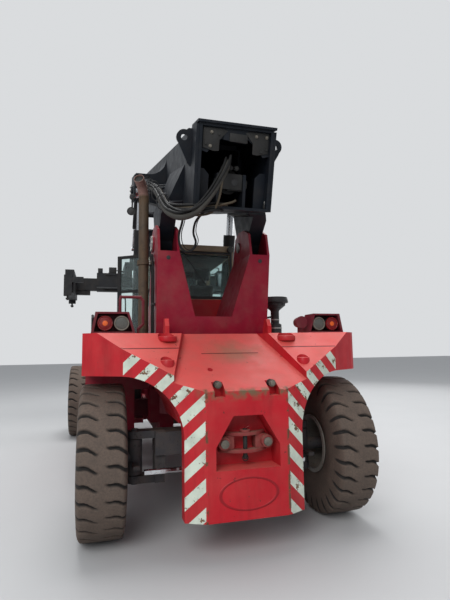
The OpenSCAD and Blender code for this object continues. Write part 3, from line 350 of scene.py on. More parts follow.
class CastPaint(Paint):
    """Red of the counterweight, with its stripes, soot, worn edges, seams and oval."""

    def __init__(self):
        colours = settings().colours
        # the counterweight's tops turn strongly paler: sun-fading and painted top light
        super().__init__(
            "cast_red", colours.body, colours.body_sunfaded_and_lit, fade=0.86, dirt=0.22, chips=0.85, streaks=0.55
        )
        x, y, self.z = self.parts(self.coords)
        self.across = self.less(x, CENTRE_X)
        self.out = self.math("ABSOLUTE", self.across)
        self.ahead = self.less(y, REAR_Y)

    def marked(self):
        """Lays the marks over the paint, one after the other."""
        self.stripes()
        self.soot()
        self.grime()
        self.worn_corners()
        self.seams_and_oval()
        return self.finish(0.46)

    def stripes(self):
        """Warning stripes along the flanks, peeling to bare iron."""
        colours, sizes, marks = settings().colours, settings().stripes, settings().marks
        turn = self.math("DIVIDE", self.less(self.math("ADD", self.z, self.out), sizes.start), sizes.pitch)
        white = self.math("LESS_THAN", self.less(turn, self.math("FLOOR", turn)), sizes.white / sizes.pitch)
        turned = self.math("GREATER_THAN", self.math("ABSOLUTE", self.facing[0]), 0.3)
        rearward = self.math("LESS_THAN", self.facing[1], -0.7)
        flank = self.product(self.less(self.out, marks.flank_start), marks.flank_slope)
        near = self.math("LESS_THAN", self.less(self.ahead, flank), 0.02)
        white = self.product(white, turned, rearward, near, self.between(self.out, sizes.inner, sizes.outer))
        patch = self.band(self.noise(5.5, 8, 0.72, shift=(4, 2, 7)), 0.585, 0.60)
        fleck = self.band(self.noise(11, 8, 0.7, shift=(4, 2, 7)), 0.59, 0.61)
        worn = self.mix(self.band(self.noise(6, 5), 0.4, 0.7), colours.stripe, darker(colours.stripe, 0.72))
        bare = self.mix(self.band(self.noise(30, 4), 0.4, 0.6), (0.10, 0.035, 0.02), (0.19, 0.12, 0.06))
        self.tone = self.mix(white, self.tone, self.mix(self.math("MAXIMUM", patch, fleck), worn, bare))

    def soot(self):
        """Soot that spreads from the middle of the trough's seam."""
        marks = settings().marks
        aside = self.math("DIVIDE", self.less(self.across, 0.05), 0.34)
        along = self.math("DIVIDE", self.less(self.ahead, marks.trough_seam + 0.02), 0.22)
        far = self.math("ADD", self.length(aside, along), self.band(self.noise(5, 6), 0.3, 0.7, -0.35, 0.35))
        self.tone = self.mix(
            self.product(self.band(far, 0.25, 1.15, 0.55, 0.0), self.up), self.tone, (0.17, 0.13, 0.075)
        )

    def grime(self):
        """Brown grime along the rear edge of the top."""
        edge = self.product(self.band(self.ahead, 0.0, 0.06, 1.0, 0.0), self.band(self.z, 1.47, 1.56))
        edge = self.product(edge, self.band(self.noise(13, 6), 0.42, 0.6))
        self.tone = self.mix(edge, self.tone, (0.15, 0.10, 0.055))

    def worn_corners(self):
        """Wear along the rear face's upright edges."""
        off = self.math("ABSOLUTE", self.less(self.out, settings().marks.flank_start + 0.003))
        corner = self.product(
            self.band(off, 0.004, 0.022, 1.0, 0.0),
            self.band(self.noise(9, 8, 0.7, shift=(2, 2, 2)), 0.5, 0.53),
            self.band(self.ahead, 0.02, 0.05, 1.0, 0.0),
        )
        self.tone = self.mix(corner, self.tone, (0.10, 0.055, 0.028))

    def seams_and_oval(self):
        """The caps' seams across the shoulders and the trough, and the raised oval ring of the rear face, darkened
        as painted shade.
        """
        marks = settings().marks
        shoulder = self.less(self.ahead, self.less(marks.cap_seam, self.product(self.out, marks.cap_slant)))
        trough = self.less(self.ahead, marks.trough_seam)
        seam = self.math(
            "MAXIMUM", self.line(shoulder, marks.cap_in, marks.cap_out),
            self.line(trough, 0.0, marks.trough_half)
        )
        seam = self.product(seam, self.up)
        self.tone = self.mix(seam, self.tone, (0.10, 0.012, 0.014))
        wide = self.math("DIVIDE", self.out, marks.oval_wide)
        tall = self.math("DIVIDE", self.less(self.z, marks.oval_centre), marks.oval_tall)
        oval = self.length(wide, tall)
        ring = self.product(
            self.band(oval, 0.90, 0.94), self.band(oval, 0.99, 1.03, 1.0, 0.0),
            self.math("LESS_THAN", self.ahead, 0.03),
        )
        # painted shade: the raised oval ring is darkened in colour, beside its bump relief
        self.tone = self.mix(self.product(ring, 0.5), self.tone, (0.09, 0.004, 0.007))
        self.relief = self.less(ring, seam)

    def line(self, off, inner, outer):
        """A thin line where a distance is nought, between two distances from the centre plane."""
        thin = self.band(self.math("ABSOLUTE", off), 0.003, 0.008, 1.0, 0.0)
        return self.product(thin, self.between(self.out, inner, outer))


def painted(name, colour, faded, fade, dirt, chips, roughness, gloss=0.28):
    """A weathered paint: how far its tops turn paler (sun-fading and painted top light), gathers dirt and chips,
    then its roughness and gloss.
    """
    return Paint(name, colour, faded, fade, dirt, chips).finish(roughness, gloss)


def hose(name, colour, roughness):
    """The cover of a hose."""
    return plain(name, colour, roughness, grain=140, relief=0.3, Specular_IOR_Level=0.25)


def steel(name, colour, roughness=0.4, metallic=0.7, grime=0.5):
    """Bare or greased steel with darker grime."""
    made = Finish(name)
    patches = made.band(made.noise(14, 6, 0.6), 0.4, 0.7)
    tone = made.mix(patches, colour, darker(colour, 1 - grime))
    shine = made.band(made.noise(30, 4), 0.3, 0.7, roughness - 0.1, roughness + 0.18)
    return made.done(tone, shine, made.bump(made.noise(120, 3), 0.15, 0.001), metallic)


def grimy(name, colour, dust_share=0.5, roughness=0.75, relief=0.3):
    """Dull painted steel under oily dust."""
    made = Finish(name)
    up = made.band(made.normal()[2], 0.1, 0.9, 0.35, 1)
    cloud = made.band(made.noise(5, 8, 0.65), 0.4, 0.7)
    tone = made.mix(made.product(cloud, up, dust_share), colour,
                    settings().colours.dust)
    tone = made.mix(made.band(made.noise(24, 5), 0.58, 0.7), tone, darker(colour, 0.5))
    return made.done(tone, made.band(cloud, 0, 1, roughness - 0.15, roughness + 0.1),
                     made.bump(made.noise(60, 5), relief, 0.002))


def rusty():
    """Exhaust pipe: olive-brown rust in patches, paler and pinkish where it bends."""
    made = Finish("rusty_pipe")
    rust = settings().colours.rust
    broad = made.band(made.noise(3.2, 6, 0.6, (1, 1, 0.5)), 0.35, 0.7)
    tone = made.mix(broad, rust, (0.105, 0.062, 0.032))
    tone = made.mix(made.band(made.noise(11, 8, 0.7), 0.5, 0.7), tone, (0.028, 0.022, 0.016))
    height = made.parts(made.coords)[2]
    bend = made.math("ADD", height, made.band(made.noise(6, 4), 0.3, 0.7, -0.02, 0.02))
    tone = made.mix(made.band(bend, 3.99, 4.02), tone,
                    made.mix(broad, (0.17, 0.095, 0.075), (0.24, 0.14, 0.12)))
    return made.done(tone, made.band(broad, 0, 1, 0.6, 0.85), made.bump(made.noise(45, 6, 0.6), 0.4, 0.003),
                     0.25)


def glazing():
    """Tinted glass with a thin film of dust."""
    made = Finish("tinted_glass")
    film = made.band(made.noise(3.5, 7, 0.6), 0.45, 0.75, 0.0, 0.2)
    tone = made.mix(film, (0.74, 0.88, 0.87), (0.60, 0.64, 0.60))
    return made.done(tone, made.band(film, 0, 0.2, 0.0, 0.06), Transmission_Weight=0.95, IOR=1.12)


def tyre_rubber():
    """Tyre rubber: brown road dust on the lugs, dark on the walls, and painted shade that darkens the grooves."""
    made = Finish("tyre_rubber")
    colours = settings().colours
    groove = made.make("ShaderNodeAttribute", attribute_name="groove").outputs["Fac"]
    cloud = made.band(made.noise(6, 7, 0.6), 0.3, 0.7, 0.45, 1.0)
    worn = made.mix(cloud, darker(colours.rubber, 0.45), colours.rubber)
    fine = made.band(made.noise(55, 6, 0.65), 0.42, 0.66)
    worn = made.mix(made.product(fine, 0.45), worn, (0.05, 0.043, 0.038))
    # painted shade: near black where the groove is deep
    tone = made.mix(made.band(groove, 0.04, 0.6), worn, (0.022, 0.02, 0.019))
    relief = made.bump(made.noise(38, 7, 0.65), 0.5, 0.004)
    return made.done(tone, made.band(cloud, 0.45, 1, 0.75, 0.93), relief, Specular_IOR_Level=0.3)


def plain(name, colour, roughness=0.5, metallic=0.0, grain=80, relief=0.15, **sockets):
    """A moulded or sprayed surface with a little variation."""
    made = Finish(name)
    tone = made.mix(made.band(made.noise(7, 5), 0.35, 0.7), colour, darker(colour, 0.7))
    shine = made.band(made.noise(16, 4), 0.3, 0.7, max(roughness - 0.08, 0.02), roughness + 0.1)
    return made.done(tone, shine, made.bump(made.noise(grain, 3), relief, 0.001), metallic, **sockets)


def lens(name, colour, rib=90):
    """Moulded lamp lens with fine ribs."""
    made = Finish(name)
    x, _, z = made.parts(made.coords)
    ribs = made.math("SINE", made.math("MULTIPLY", x, rib * math.tau))
    rows = made.math("SINE", made.math("MULTIPLY", z, rib * math.tau))
    relief = made.bump(made.math("ADD", ribs, rows), 0.35, 0.002)
    tone = made.mix(made.band(made.noise(25, 5), 0.4, 0.75, 0, 0.5), colour, darker(colour, 0.45))
    return made.done(tone, made.band(made.noise(40, 3), 0.3, 0.7, 0.12, 0.3), relief, Coat_Weight=0.2,
                     Coat_Roughness=0.1, Specular_IOR_Level=0.25)


def woven():
    """Dark woven seat cover."""
    made = Finish("seat_fabric")
    x, y, z = made.parts(made.coords)
    warp = made.math("SINE", made.product(x, 2600.0))
    weft = made.math("SINE", made.product(made.math("ADD", y, z), 2600.0))
    weave = made.product(warp, weft)
    tone = made.mix(made.band(made.noise(12, 5), 0.35, 0.7), (0.035, 0.036, 0.04), (0.065, 0.063, 0.06))
    tone = made.mix(made.band(weave, -1, 1, 0, 0.4), tone, (0.012, 0.012, 0.014))
    return made.done(tone, 0.92, made.bump(weave, 0.4, 0.0008), Sheen_Weight=0.35, Sheen_Roughness=0.5)


FINISHES = {}
# Solids whose look isn't that of their slot
SPECIAL = {"counterweight": "cast_red", "telescope_barrel": "grimy_steel", "lamp_boxes": "lamp_box_paint"}


def make_finishes():
    """One finish for each of the record's slots, and a few for the small pieces."""
    c = settings().colours
    FINISHES.clear()
    FINISHES.update(
        # each paint's second colour is the paler tone of its tops: sun-fading and painted top light
        red_paint=painted("red_paint", c.body, c.body_sunfaded_and_lit, 0.6, 0.35, 0.5, 0.4),
        cast_red=CastPaint().marked(),
        crimson_paint=painted("crimson_paint", c.frame_red, darker(c.body_sunfaded_and_lit, 0.6), 0.35, 0.4, 0.6, 0.38),
        boom_paint=painted("boom_paint", c.boom, (0.018, 0.024, 0.032), 0.3, 0.1, 0.4, 0.45, 0.22),
        black_paint=painted("black_paint", (0.01, 0.011, 0.013), (0.03, 0.031, 0.034), 0.35, 0.2, 0.5, 0.5,
                            0.22),
        beige_paint=painted("beige_paint", c.roof, (0.55, 0.47, 0.36), 0.3, 0.5, 0.35, 0.5),
        lamp_box_paint=painted("lamp_box_paint", (0.12, 0.003, 0.014), (0.22, 0.02, 0.03), 0.3, 0.5, 0.6,
                               0.45),
        coupling_red=painted("coupling_red", (0.26, 0.022, 0.028), (0.30, 0.12, 0.09), 0.45, 0.85, 0.6, 0.65),
        axle_paint=grimy("axle_paint", c.axle, 0.75),
        rim_paint=grimy("rim_paint", (0.20, 0.19, 0.17), 0.7, 0.65),
        cast_iron=grimy("cast_iron", (0.05, 0.047, 0.045), 0.5),
        grimy_steel=grimy("grimy_steel", (0.009, 0.009, 0.0085), 0.08, 0.8),
        pin_steel=steel("pin_steel", (0.30, 0.29, 0.28), 0.38),
        chrome_rod=steel("chrome_rod", (0.62, 0.63, 0.65), 0.16, 1.0, 0.12),
        bolt_steel=steel("bolt_steel", (0.42, 0.41, 0.39), 0.42, 0.8, 0.3),
        worn_bolt=steel("worn_bolt", (0.20, 0.18, 0.15), 0.5, 0.6, 0.5),
        lamp_lens=lens("lamp_red", (0.17, 0.002, 0.004)),
        lamp_amber=lens("lamp_amber", (0.70, 0.12, 0.012)),
        lamp_clear=lens("lamp_clear", (0.085, 0.09, 0.08)),
        lamp_dark=lens("lamp_dark", (0.05, 0.05, 0.048)),
        rusty_pipe=rusty(),
        black_plastic=plain("black_plastic", (0.02, 0.02, 0.021), 0.55),
        mirror_glass=plain("mirror_glass", (0.6, 0.62, 0.64), 0.06, 1.0, relief=0.02),
        hose_rubber=hose("hose_rubber", (0.012, 0.012, 0.012), 0.7),
        hose_grey=hose("hose_grey", (0.05, 0.047, 0.041), 0.75),
        hose_brown=hose("hose_brown", (0.075, 0.06, 0.04), 0.7),
        tinted_glass=glazing(),
        seat_fabric=woven(),
        tyre_rubber=tyre_rubber(),
    )


# Shapes


def block(low, high, edge=0.004):
    """A box with softened edges."""
    low, high = Vector(low), Vector(high)
    shape = bmesh.new()
    bmesh.ops.create_cube(shape, size=1,
                          matrix=Matrix.Translation((low + high) / 2) @ Matrix.Diagonal((*(high - low), 1)))
    soften(shape, edge)
    return shape


def soften(shape, width, segments=2, angle=0.5):
    """Bevels the sharp edges of a shape."""
    if width:
        sharp = [e for e in shape.edges if len(e.link_faces) == 2 and e.calc_face_angle(0) > angle]
        bmesh.ops.bevel(shape, geom=sharp, offset=width, offset_type="OFFSET", segments=segments, profile=0.5,
                        affect="EDGES", clamp_overlap=True, material=-1)


def toward(start, end):
    """The turn and place that put the z axis on the line from start to end."""
    return Matrix.Translation(start) @ (end - start).to_track_quat("Z", "Y").to_matrix().to_4x4()


def rod(start, end, width, sides=20, edge=0.0, end_width=None):
    """A round or many-sided bar between two points."""
    start, end = Vector(start), Vector(end)
    shape = bmesh.new()
    length = (end - start).length
    bmesh.ops.create_cone(shape, cap_ends=True, segments=sides, radius1=width / 2,
                          radius2=(end_width or width) / 2,
                          depth=length, matrix=toward(start, end) @ Matrix.Translation((0, 0, length / 2)))
    soften(shape, edge, angle=1.0)
    return shape


def turned(outline, start, end, steps=32):
    """A shape turned from pairs of radius and distance, from start towards end."""
    start, end = Vector(start), Vector(end)
    shape = bmesh.new()
    line = [shape.verts.new((radius, 0, along)) for radius, along in outline]
    edges = [shape.edges.new(pair) for pair in zip(line, line[1:])]
    bmesh.ops.spin(shape, geom=line + edges, cent=(0, 0, 0), axis=(0, 0, 1), angle=math.tau, steps=steps,
                   use_merge=True)
    bmesh.ops.remove_doubles(shape, verts=shape.verts, dist=1e-5)
    bmesh.ops.transform(shape, matrix=toward(start, end), verts=shape.verts)
    bmesh.ops.recalc_face_normals(shape, faces=shape.faces)
    return shape


def plate(outline, thickness, edge=0.003):
    """A flat plate of that outline, thickened along the vector."""
    shape = bmesh.new()
    face = shape.faces.new([shape.verts.new(p) for p in outline])
    made = bmesh.ops.extrude_face_region(shape, geom=[face])
    top = [v for v in made["geom"] if isinstance(v, bmesh.types.BMVert)]
    bmesh.ops.translate(shape, verts=top, vec=Vector(thickness))
    bmesh.ops.recalc_face_normals(shape, faces=shape.faces)
    soften(shape, edge)
    return shape


def bolt(at, axis, width):
    """A hexagonal bolt head on its washer."""
    at, axis = Vector(at), Vector(axis).normalized()
    shape = rod(at, at + axis * width * 0.16, width * 1.35, 16)
    head = rod(at + axis * width * 0.15, at + axis * width * 0.62, width * 1.08, 6, width * 0.05)
    return joined([shape, head])


def turns(count):
    """Angles once round, in even steps."""
    return [i * math.tau / count for i in range(count)]


def hoop(centre, across, up, width, sides, steps):
    """A closed round band about a centre."""
    points = [centre + math.cos(turn) * across + math.sin(turn) * up for turn in turns(steps)]
    return tube([*points, points[0]], width, sides, 0)


def bolt_circle(piece, centre, out, radius, width, angles, ahead=AHEAD, up=UP):
    """Bolts on a circle, at those angles from the way ahead, that look outwards."""
    for turn in angles:
        spot = centre + radius * (math.cos(turn) * ahead + math.sin(turn) * up)
        piece.add(bolt(spot, out, width), "bolt_steel")


def joined(shapes):
    """Several shapes as one."""
    whole = bmesh.new()
    for shape in shapes:
        mesh = bpy.data.meshes.new("shape")
        shape.to_mesh(mesh)
        shape.free()
        whole.from_mesh(mesh)
        bpy.data.meshes.remove(mesh)
    return whole


def smooth_path(points, steps=6):
    """Points on a smooth curve through the given ones."""
    points = [Vector(p) for p in points]
    ends = [2 * points[0] - points[1], *points, 2 * points[-1] - points[-2]]
    path = []
    for a, b, c, d in zip(ends, ends[1:], ends[2:], ends[3:]):
        for i in range(steps):
            t = i / steps
            path.append(0.5 * (2 * b + (c - a) * t + (2 * a - 5 * b + 4 * c - d) * t * t
                               + (3 * b - a - 3 * c + d) * t ** 3))
    return path + [points[-1]]


def tube(points, width, sides=10, steps=6):
    """A bent round tube along a smooth path."""
    path = smooth_path(points, steps) if steps else [Vector(p) for p in points]
    shape = bmesh.new()
    rings = []
    twist = None
    for i, point in enumerate(path):
        heading = (path[min(i + 1, len(path) - 1)] - path[max(i - 1, 0)]).normalized()
        twist = heading.orthogonal() if twist is None else twist - heading * twist.dot(heading)
        twist.normalize()
        side = heading.cross(twist)
        turn = Matrix((twist, side, heading)).transposed().to_4x4()
        made = bmesh.ops.create_circle(shape, cap_ends=i in (0, len(path) - 1), segments=sides,
                                       radius=width / 2,
                                       matrix=Matrix.Translation(point) @ turn)
        ring = made["verts"]
        rings.append({e for v in ring for e in v.link_edges})
    for first, second in zip(rings, rings[1:]):
        bmesh.ops.bridge_loops(shape, edges=list(first | second))
    bmesh.ops.recalc_face_normals(shape, faces=shape.faces)
    return shape


class Piece:
    """A piece in the making: shapes are added in one finish or another, and it then rides on a body."""

    def __init__(self, name, body, slot):
        self.name, self.body, self.slot = name, body, slot
        self.mesh = bmesh.new()
        self.finishes = []

    def add(self, shape, finish=None):
        """Adds a shape in that finish."""
        finish = finish or self.slot
        if finish not in self.finishes:
            self.finishes.append(finish)
        for face in shape.faces:
            face.material_index = self.finishes.index(finish)
        mesh = bpy.data.meshes.new("shape")
        shape.to_mesh(mesh)
        shape.free()
        self.mesh.from_mesh(mesh)
        bpy.data.meshes.remove(mesh)
        return self

    def done(self, *replaced, smooth=0.6):
        """Makes the object, and hides the solids that it replaces."""
        mesh = bpy.data.meshes.new(self.name)
        self.mesh.to_mesh(mesh)
        self.mesh.free()
        for finish in self.finishes:
            mesh.materials.append(FINISHES[finish])
        mesh.shade_smooth()
        mesh.set_sharp_from_angle(angle=smooth)
        made = bpy.data.objects.new(self.name, mesh)
        bpy.context.scene.collection.objects.link(made)
        if replaced:
            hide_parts(*replaced)
        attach(made, self.body)
        return made


# Operators


class MachineOperator(Operator):
    """Base of the operators that dress the machine."""

    bl_options = {"REGISTER"}

    def execute(self, context):
        self.build(settings())
        return {"FINISHED"}


class STACKER_OT_stage(MachineOperator):
    """Sets the floor, the backdrop, the light and the camera"""

    bl_idname = "stacker.stage"
    bl_label = "Stage"

    # The photograph's camera: its yaw, pitch and roll in degrees, and its place
    CAMERA_TURN = (15.649, 6.0785, -0.7639)
    CAMERA_AT = (-2.057, -9.920147, 2.0)

    def build(self, config):
        """Makes the stage."""
        stage = config.stage
        finish = Finish("floor")
        tone = finish.mix(finish.band(finish.noise(0.6, 3), 0.3, 0.7), darker(stage.floor, 0.97), stage.floor)
        finish.done(tone, 0.9)
        floor = bmesh.new()
        bmesh.ops.create_grid(floor, x_segments=1, y_segments=1, size=60)
        mesh = bpy.data.meshes.new("floor")
        floor.to_mesh(mesh)
        floor.free()
        mesh.materials.append(finish.material)
        ground = bpy.data.objects.new("floor", mesh)
        bpy.context.scene.collection.objects.link(ground)
        bpy.context.scene.view_settings.view_transform = "Standard"
        self.light_world(stage)
        self.hang_lamp("overhead", (0, 0, 14), (0, 0, 0), 12, stage.key)
        self.hang_lamp("behind_camera", (-7, -15, 9), (-0.6, -4, 2), 9, stage.key * 0.55)
        self.hang_lamp("far_side", (12, 8, 9), (0, 0, 2), 9, stage.key * 0.3)
        self.set_camera(stage)

    def light_world(self, stage):
        """An even pale sky, seen as white by the camera."""
        world = bpy.data.worlds.new("sky")
        bpy.context.scene.world = world
        world.use_nodes = True
        tree = world.node_tree
        tree.nodes.clear()
        path = tree.nodes.new("ShaderNodeLightPath")
        glow = tree.nodes.new("ShaderNodeBackground")
        seen = tree.nodes.new("ShaderNodeBackground")
        mixed = tree.nodes.new("ShaderNodeMixShader")
        out = tree.nodes.new("ShaderNodeOutputWorld")
        glow.inputs["Color"].default_value = (0.93, 0.96, 1.0, 1)
        glow.inputs["Strength"].default_value = stage.sky
        seen.inputs["Color"].default_value = (0.70, 0.715, 0.73, 1)
        seen.inputs["Strength"].default_value = 1
        direct = tree.nodes.new("ShaderNodeMath")
        direct.operation = "MAXIMUM"
        tree.links.new(path.outputs["Is Camera Ray"], direct.inputs[0])
        tree.links.new(path.outputs["Is Transmission Ray"], direct.inputs[1])
        tree.links.new(direct.outputs[0], mixed.inputs[0])
        tree.links.new(glow.outputs[0], mixed.inputs[1])
        tree.links.new(seen.outputs[0], mixed.inputs[2])
        tree.links.new(mixed.outputs[0], out.inputs[0])

    def hang_lamp(self, name, at, target, size, strength):
        """A wide soft lamp that looks at a point."""
        data = bpy.data.lights.new(name, "AREA")
        data.shape = "DISK"
        data.size = size
        data.energy = strength * 1000
        lamp = bpy.data.objects.new(name, data)
        lamp.location = at
        lamp.rotation_euler = (Vector(target) - Vector(at)).to_track_quat("-Z", "Y").to_euler()
        bpy.context.scene.collection.objects.link(lamp)

    def set_camera(self, stage):
        """The camera at the photograph's place."""
        yaw, pitch, roll = (math.radians(angle) for angle in self.CAMERA_TURN)
        ahead = Vector((math.sin(yaw) * math.cos(pitch), math.cos(yaw) * math.cos(pitch), math.sin(pitch)))
        level = Vector((math.cos(yaw), -math.sin(yaw), 0))
        upward = level.cross(ahead)
        right = math.cos(roll) * level + math.sin(roll) * upward
        top = -math.sin(roll) * level + math.cos(roll) * upward
        data = bpy.data.cameras.new("camera")
        data.sensor_width = 36
        data.sensor_fit = "AUTO"
        data.lens = stage.lens
        data.clip_end = 200
        camera = bpy.data.objects.new("camera", data)
        turn = Matrix((right, top, -ahead)).transposed().to_4x4()
        camera.matrix_world = Matrix.Translation(self.CAMERA_AT) @ turn
        bpy.context.scene.collection.objects.link(camera)
        bpy.context.scene.camera = camera


class STACKER_OT_finishes(MachineOperator):
    """Gives each solid of the frame its weathered finish"""

    bl_idname = "stacker.finishes"
    bl_label = "Finishes"

    def build(self, config):
        """Makes the finishes and puts them on the frame's nodes."""
        make_finishes()
        for name, node in frame["nodes"].items():
            finish = FINISHES[SPECIAL.get(name, SLOT_OF[name])]
            if not node.material_slots:
                node.data.materials.append(finish)
            for slot in node.material_slots:
                slot.material = finish


class STACKER_OT_tyres(MachineOperator):
    """Makes the tyres with their wavy, staggered lugs"""

    bl_idname = "stacker.tyres"
    bl_label = "Tyres"

    # Radius of the bead's seat, and how far in from the tread the grooves reach
    SEAT = 0.3185
    REACH = 0.17

    def build(self, config):
        """Makes one tyre and sets copies of it in place."""
        low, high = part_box("tyre_rear_left")
        half = (high.x - low.x) / 2
        shape = self.tread(config.tyres, (high.z - low.z) / 2, half)
        for name in SIDE_NAMES.values():
            for node, body in ((f"tyre_rear_{name}", "wheel_rear"), (f"tyres_front_{name}", "wheels_front")):
                self.fit(shape, half, node, f"{body}_{name[0]}")
        shape.free()

    def fit(self, shape, half, node, body):
        """Sets the tyre over each one of a node, and replaces it."""
        low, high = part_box(node)
        places = {round(low.x + half, 5), round(high.x - half, 5)}
        piece = Piece(f"lugged_{node}", body, "tyre_rubber")
        for x in sorted(places):
            one = shape.copy()
            bmesh.ops.translate(one, verts=one.verts, vec=(x, (low.y + high.y) / 2, (low.z + high.z) / 2))
            piece.add(one)
        piece.done(node, smooth=1.2)

    def section(self, radius, half):
        """Pairs of distance across and radius, once round the tyre's section."""
        lower = ((0.062, 0), (0.055, 0.03), (0.035, 0.075), (0.020, 0.115), (0.008, 0.18), (0.002, 0.24),
                 (0.004, 0.30))
        upper = ((0.009, 0.13), (0.012, 0.095), (0.016, 0.065), (0.024, 0.038), (0.036, 0.018))
        wall = [(half - x, self.SEAT + z) for x, z in lower] + [(half - x, radius - z) for x, z in upper]
        tread = []
        count = 34
        for i in range(count + 1):
            x = (half - 0.05) * (1 - 2 * i / count)
            drop = 0.012 * abs(x / half) ** 4
            tread.append((x, radius - drop - 0.0005))
        return wall + tread + [(-x, r) for x, r in reversed(wall)] + [(0, self.SEAT)]

    def tread(self, sizes, radius, half):
        """A tyre about the x axis at the origin."""
        section = self.section(radius, half)
        around, across = sizes.pitches * sizes.steps, len(section)
        shape = bmesh.new()
        bmesh.ops.create_grid(shape, x_segments=around, y_segments=across, size=1)
        # groove depth at each point, which the rubber's finish turns into painted shade
        groove = shape.verts.layers.float.new("groove")
        for vert in shape.verts:
            turn = (vert.co.x + 1) / 2
            x, r = section[round((vert.co.y + 1) / 2 * across) % across]
            depth = self.groove(sizes, x, r, turn, radius, half)
            vert[groove] = min(depth / sizes.depth, 1)
            r -= depth
            vert.co = (x, r * math.sin(turn * math.tau), r * math.cos(turn * math.tau))
        bmesh.ops.remove_doubles(shape, verts=shape.verts, dist=1e-5)
        bmesh.ops.recalc_face_normals(shape, faces=shape.faces)
        return shape

    def groove(self, sizes, x, r, turn, radius, half):
        """How deep the tread is cut at one point."""
        out = abs(x) / half
        if out < 0.1 or r < radius - self.REACH:
            return 0.0
        pitch = math.tau * radius / sizes.pitches
        side = 1 if x > 0 else -1
        lean = sizes.slant * x + sizes.wave * math.sin(abs(x) / half * 2.6 * math.pi)
        arc = turn * sizes.pitches + side * 0.25 + lean / pitch
        off = abs(arc - math.floor(arc) - 0.5) * pitch
        width = sizes.width * (0.55 + 0.45 * out) / 2
        cut = min(max((width - off) / (width * 0.55), 0), 1)
        cut = cut * cut * (3 - 2 * cut)
        start = min(max((out - 0.1) / 0.16, 0), 1)
        fade = min(max((r - (radius - self.REACH)) / 0.08, 0), 1)
        return sizes.depth * cut * start * (0.6 + 0.4 * out) * fade


class STACKER_OT_lamps(MachineOperator):
    """Makes the lamps at the rear, on the boom and on the cab's roof"""

    bl_idname = "stacker.lamps"
    bl_label = "Lamps"

    def build(self, config):
        """Makes the lamps of each body."""
        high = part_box("rear_lamps")[1]
        radius = config.fittings.lamp / 2
        z = high.z - radius
        rear = Piece("rear_lamp_set", "chassis", "lamp_lens")
        for side in SIDES:
            outer, inner, notch = (place(side * x, y, height) for x, y, height in
                                   ((1.357, 0.735, z), (1.182, 0.735, z), (0.283, 0.072, 1.64)))
            self.lamp(rear, outer, AHEAD, radius, 0.19, "lamp_lens", "lamp_lens", "lamp_amber")
            self.lamp(rear, inner, AHEAD, radius, 0.19, "worn_bolt", "lamp_clear")
            rear.add(rod(notch, notch + 0.068 * AHEAD, 0.075, 20, 0.004), "grimy_steel")
            rear.add(bolt(notch, -AHEAD, 0.054), "worn_bolt")
        rear.done("rear_lamps", smooth=0.9)
        roof = Piece("cab_work_lamps", "chassis", "black_plastic")
        for side in SIDES:
            self.lamp(roof, place(side * 0.535, 2.335, 3.52), AHEAD, 0.052, 0.05, "black_plastic",
                      "lamp_clear")
        roof.done(smooth=0.9)
        boom = Piece("boom_work_lamps", "boom", "black_plastic")
        for side in SIDES:
            self.lamp(boom, on_boom(side * 0.955, 1.30, 0.44), ALONG, 0.066, 0.095, "black_plastic",
                      "lamp_dark")
            boom.add(rod(on_boom(side * 0.94, 1.37, 0.44), on_boom(side * 0.935, 1.385, 0.64), 0.026, 10))
            boom.add(rod(on_boom(side * 0.935, 1.33, 0.665), on_boom(side * 0.935, 1.41, 0.665), 0.10, 16,
                         0.008))
        boom.done(smooth=0.9)

    def lamp(self, piece, at, into, radius, depth, ring, glass, centre=None):
        """A round lamp: its case, its ring, and a lens that may have a centre of its own."""
        end = at + into
        lip = 0.16 * radius
        hub = 0.34 * radius if centre else 0.0
        # pairs of radius and depth
        case = ((0, depth), (0.88 * radius, depth), (0.98 * radius, 0.9 * depth), (0.98 * radius, lip),
                (0, lip))
        rim = ((0.80 * radius, lip), (0.80 * radius, 0.05 * radius), (0.86 * radius, 0),
               (0.96 * radius, 0.02 * radius), (radius, 0.1 * radius), (radius, 1.6 * lip),
               (0.80 * radius, lip))
        front = ((hub, lip), (0.81 * radius, lip), (0.79 * radius, 0.09 * radius),
                 (0.60 * radius, 0.05 * radius),
                 (hub, 0.035 * radius))
        middle = ((0, lip), (hub, lip), (hub, 0.03 * radius), (0.6 * hub, 0.005 * radius), (0, 0))
        for outline, finish in ((case, "black_plastic"), (rim, ring), (front, glass), (middle, centre)):
            if finish:
                piece.add(turned(outline, at, end), finish)


class STACKER_OT_coupling(MachineOperator):
    """Makes the towing coupling in its pocket"""

    bl_idname = "stacker.coupling"
    bl_label = "Towing coupling"

    def build(self, config):
        """Makes the two bowed plates, their housings, and the pin with its ring."""
        piece = Piece("towing_coupling", "chassis", "crimson_paint")
        for z, half in ((0.985, 0.25), (1.15, 0.23)):
            rear = [place(half * t / 6, 0.062 + 0.12 * (t / 6) ** 2, z - 0.016) for t in range(-6, 7)]
            front = [place(half * t / 6, 0.15 + 0.085 * (t / 6) ** 2, z - 0.016) for t in range(6, -7, -1)]
            piece.add(plate(rear + front, (0, 0, 0.032), 0.004), "coupling_red")
        for side in SIDES:
            x, z = side * 0.222, 1.068
            piece.add(rod(place(x, 0.236, z), place(x, 0.07, z), 0.124, 28, 0.008), "coupling_red")
            piece.add(rod(place(x, 0.071, z), place(x, 0.048, z), 0.086, 24, 0.006), "worn_bolt")
            x = side * 0.16
            piece.add(block(place(x - 0.05, 0.12, 1.0), place(x + 0.05, 0.235, 1.135), 0.006), "coupling_red")
        piece.add(rod(place(0, 0.115, 0.905), place(0, 0.115, 1.20), 0.044, 20, 0.004), "grimy_steel")
        piece.add(rod(place(0, 0.115, 1.165), place(0, 0.115, 1.19), 0.105, 24, 0.004), "coupling_red")
        piece.add(rod(place(0, 0.115, 1.20), place(0.05, 0.10, 1.225), 0.02, 10, 0.003), "lamp_lens")
        ring = hoop(place(0, 0.115, 0.915), Vector((0.03, 0, 0)), 0.03 * UP, 0.009, 8, 16)
        piece.add(ring, "grimy_steel")
        piece.done("tow_coupling")


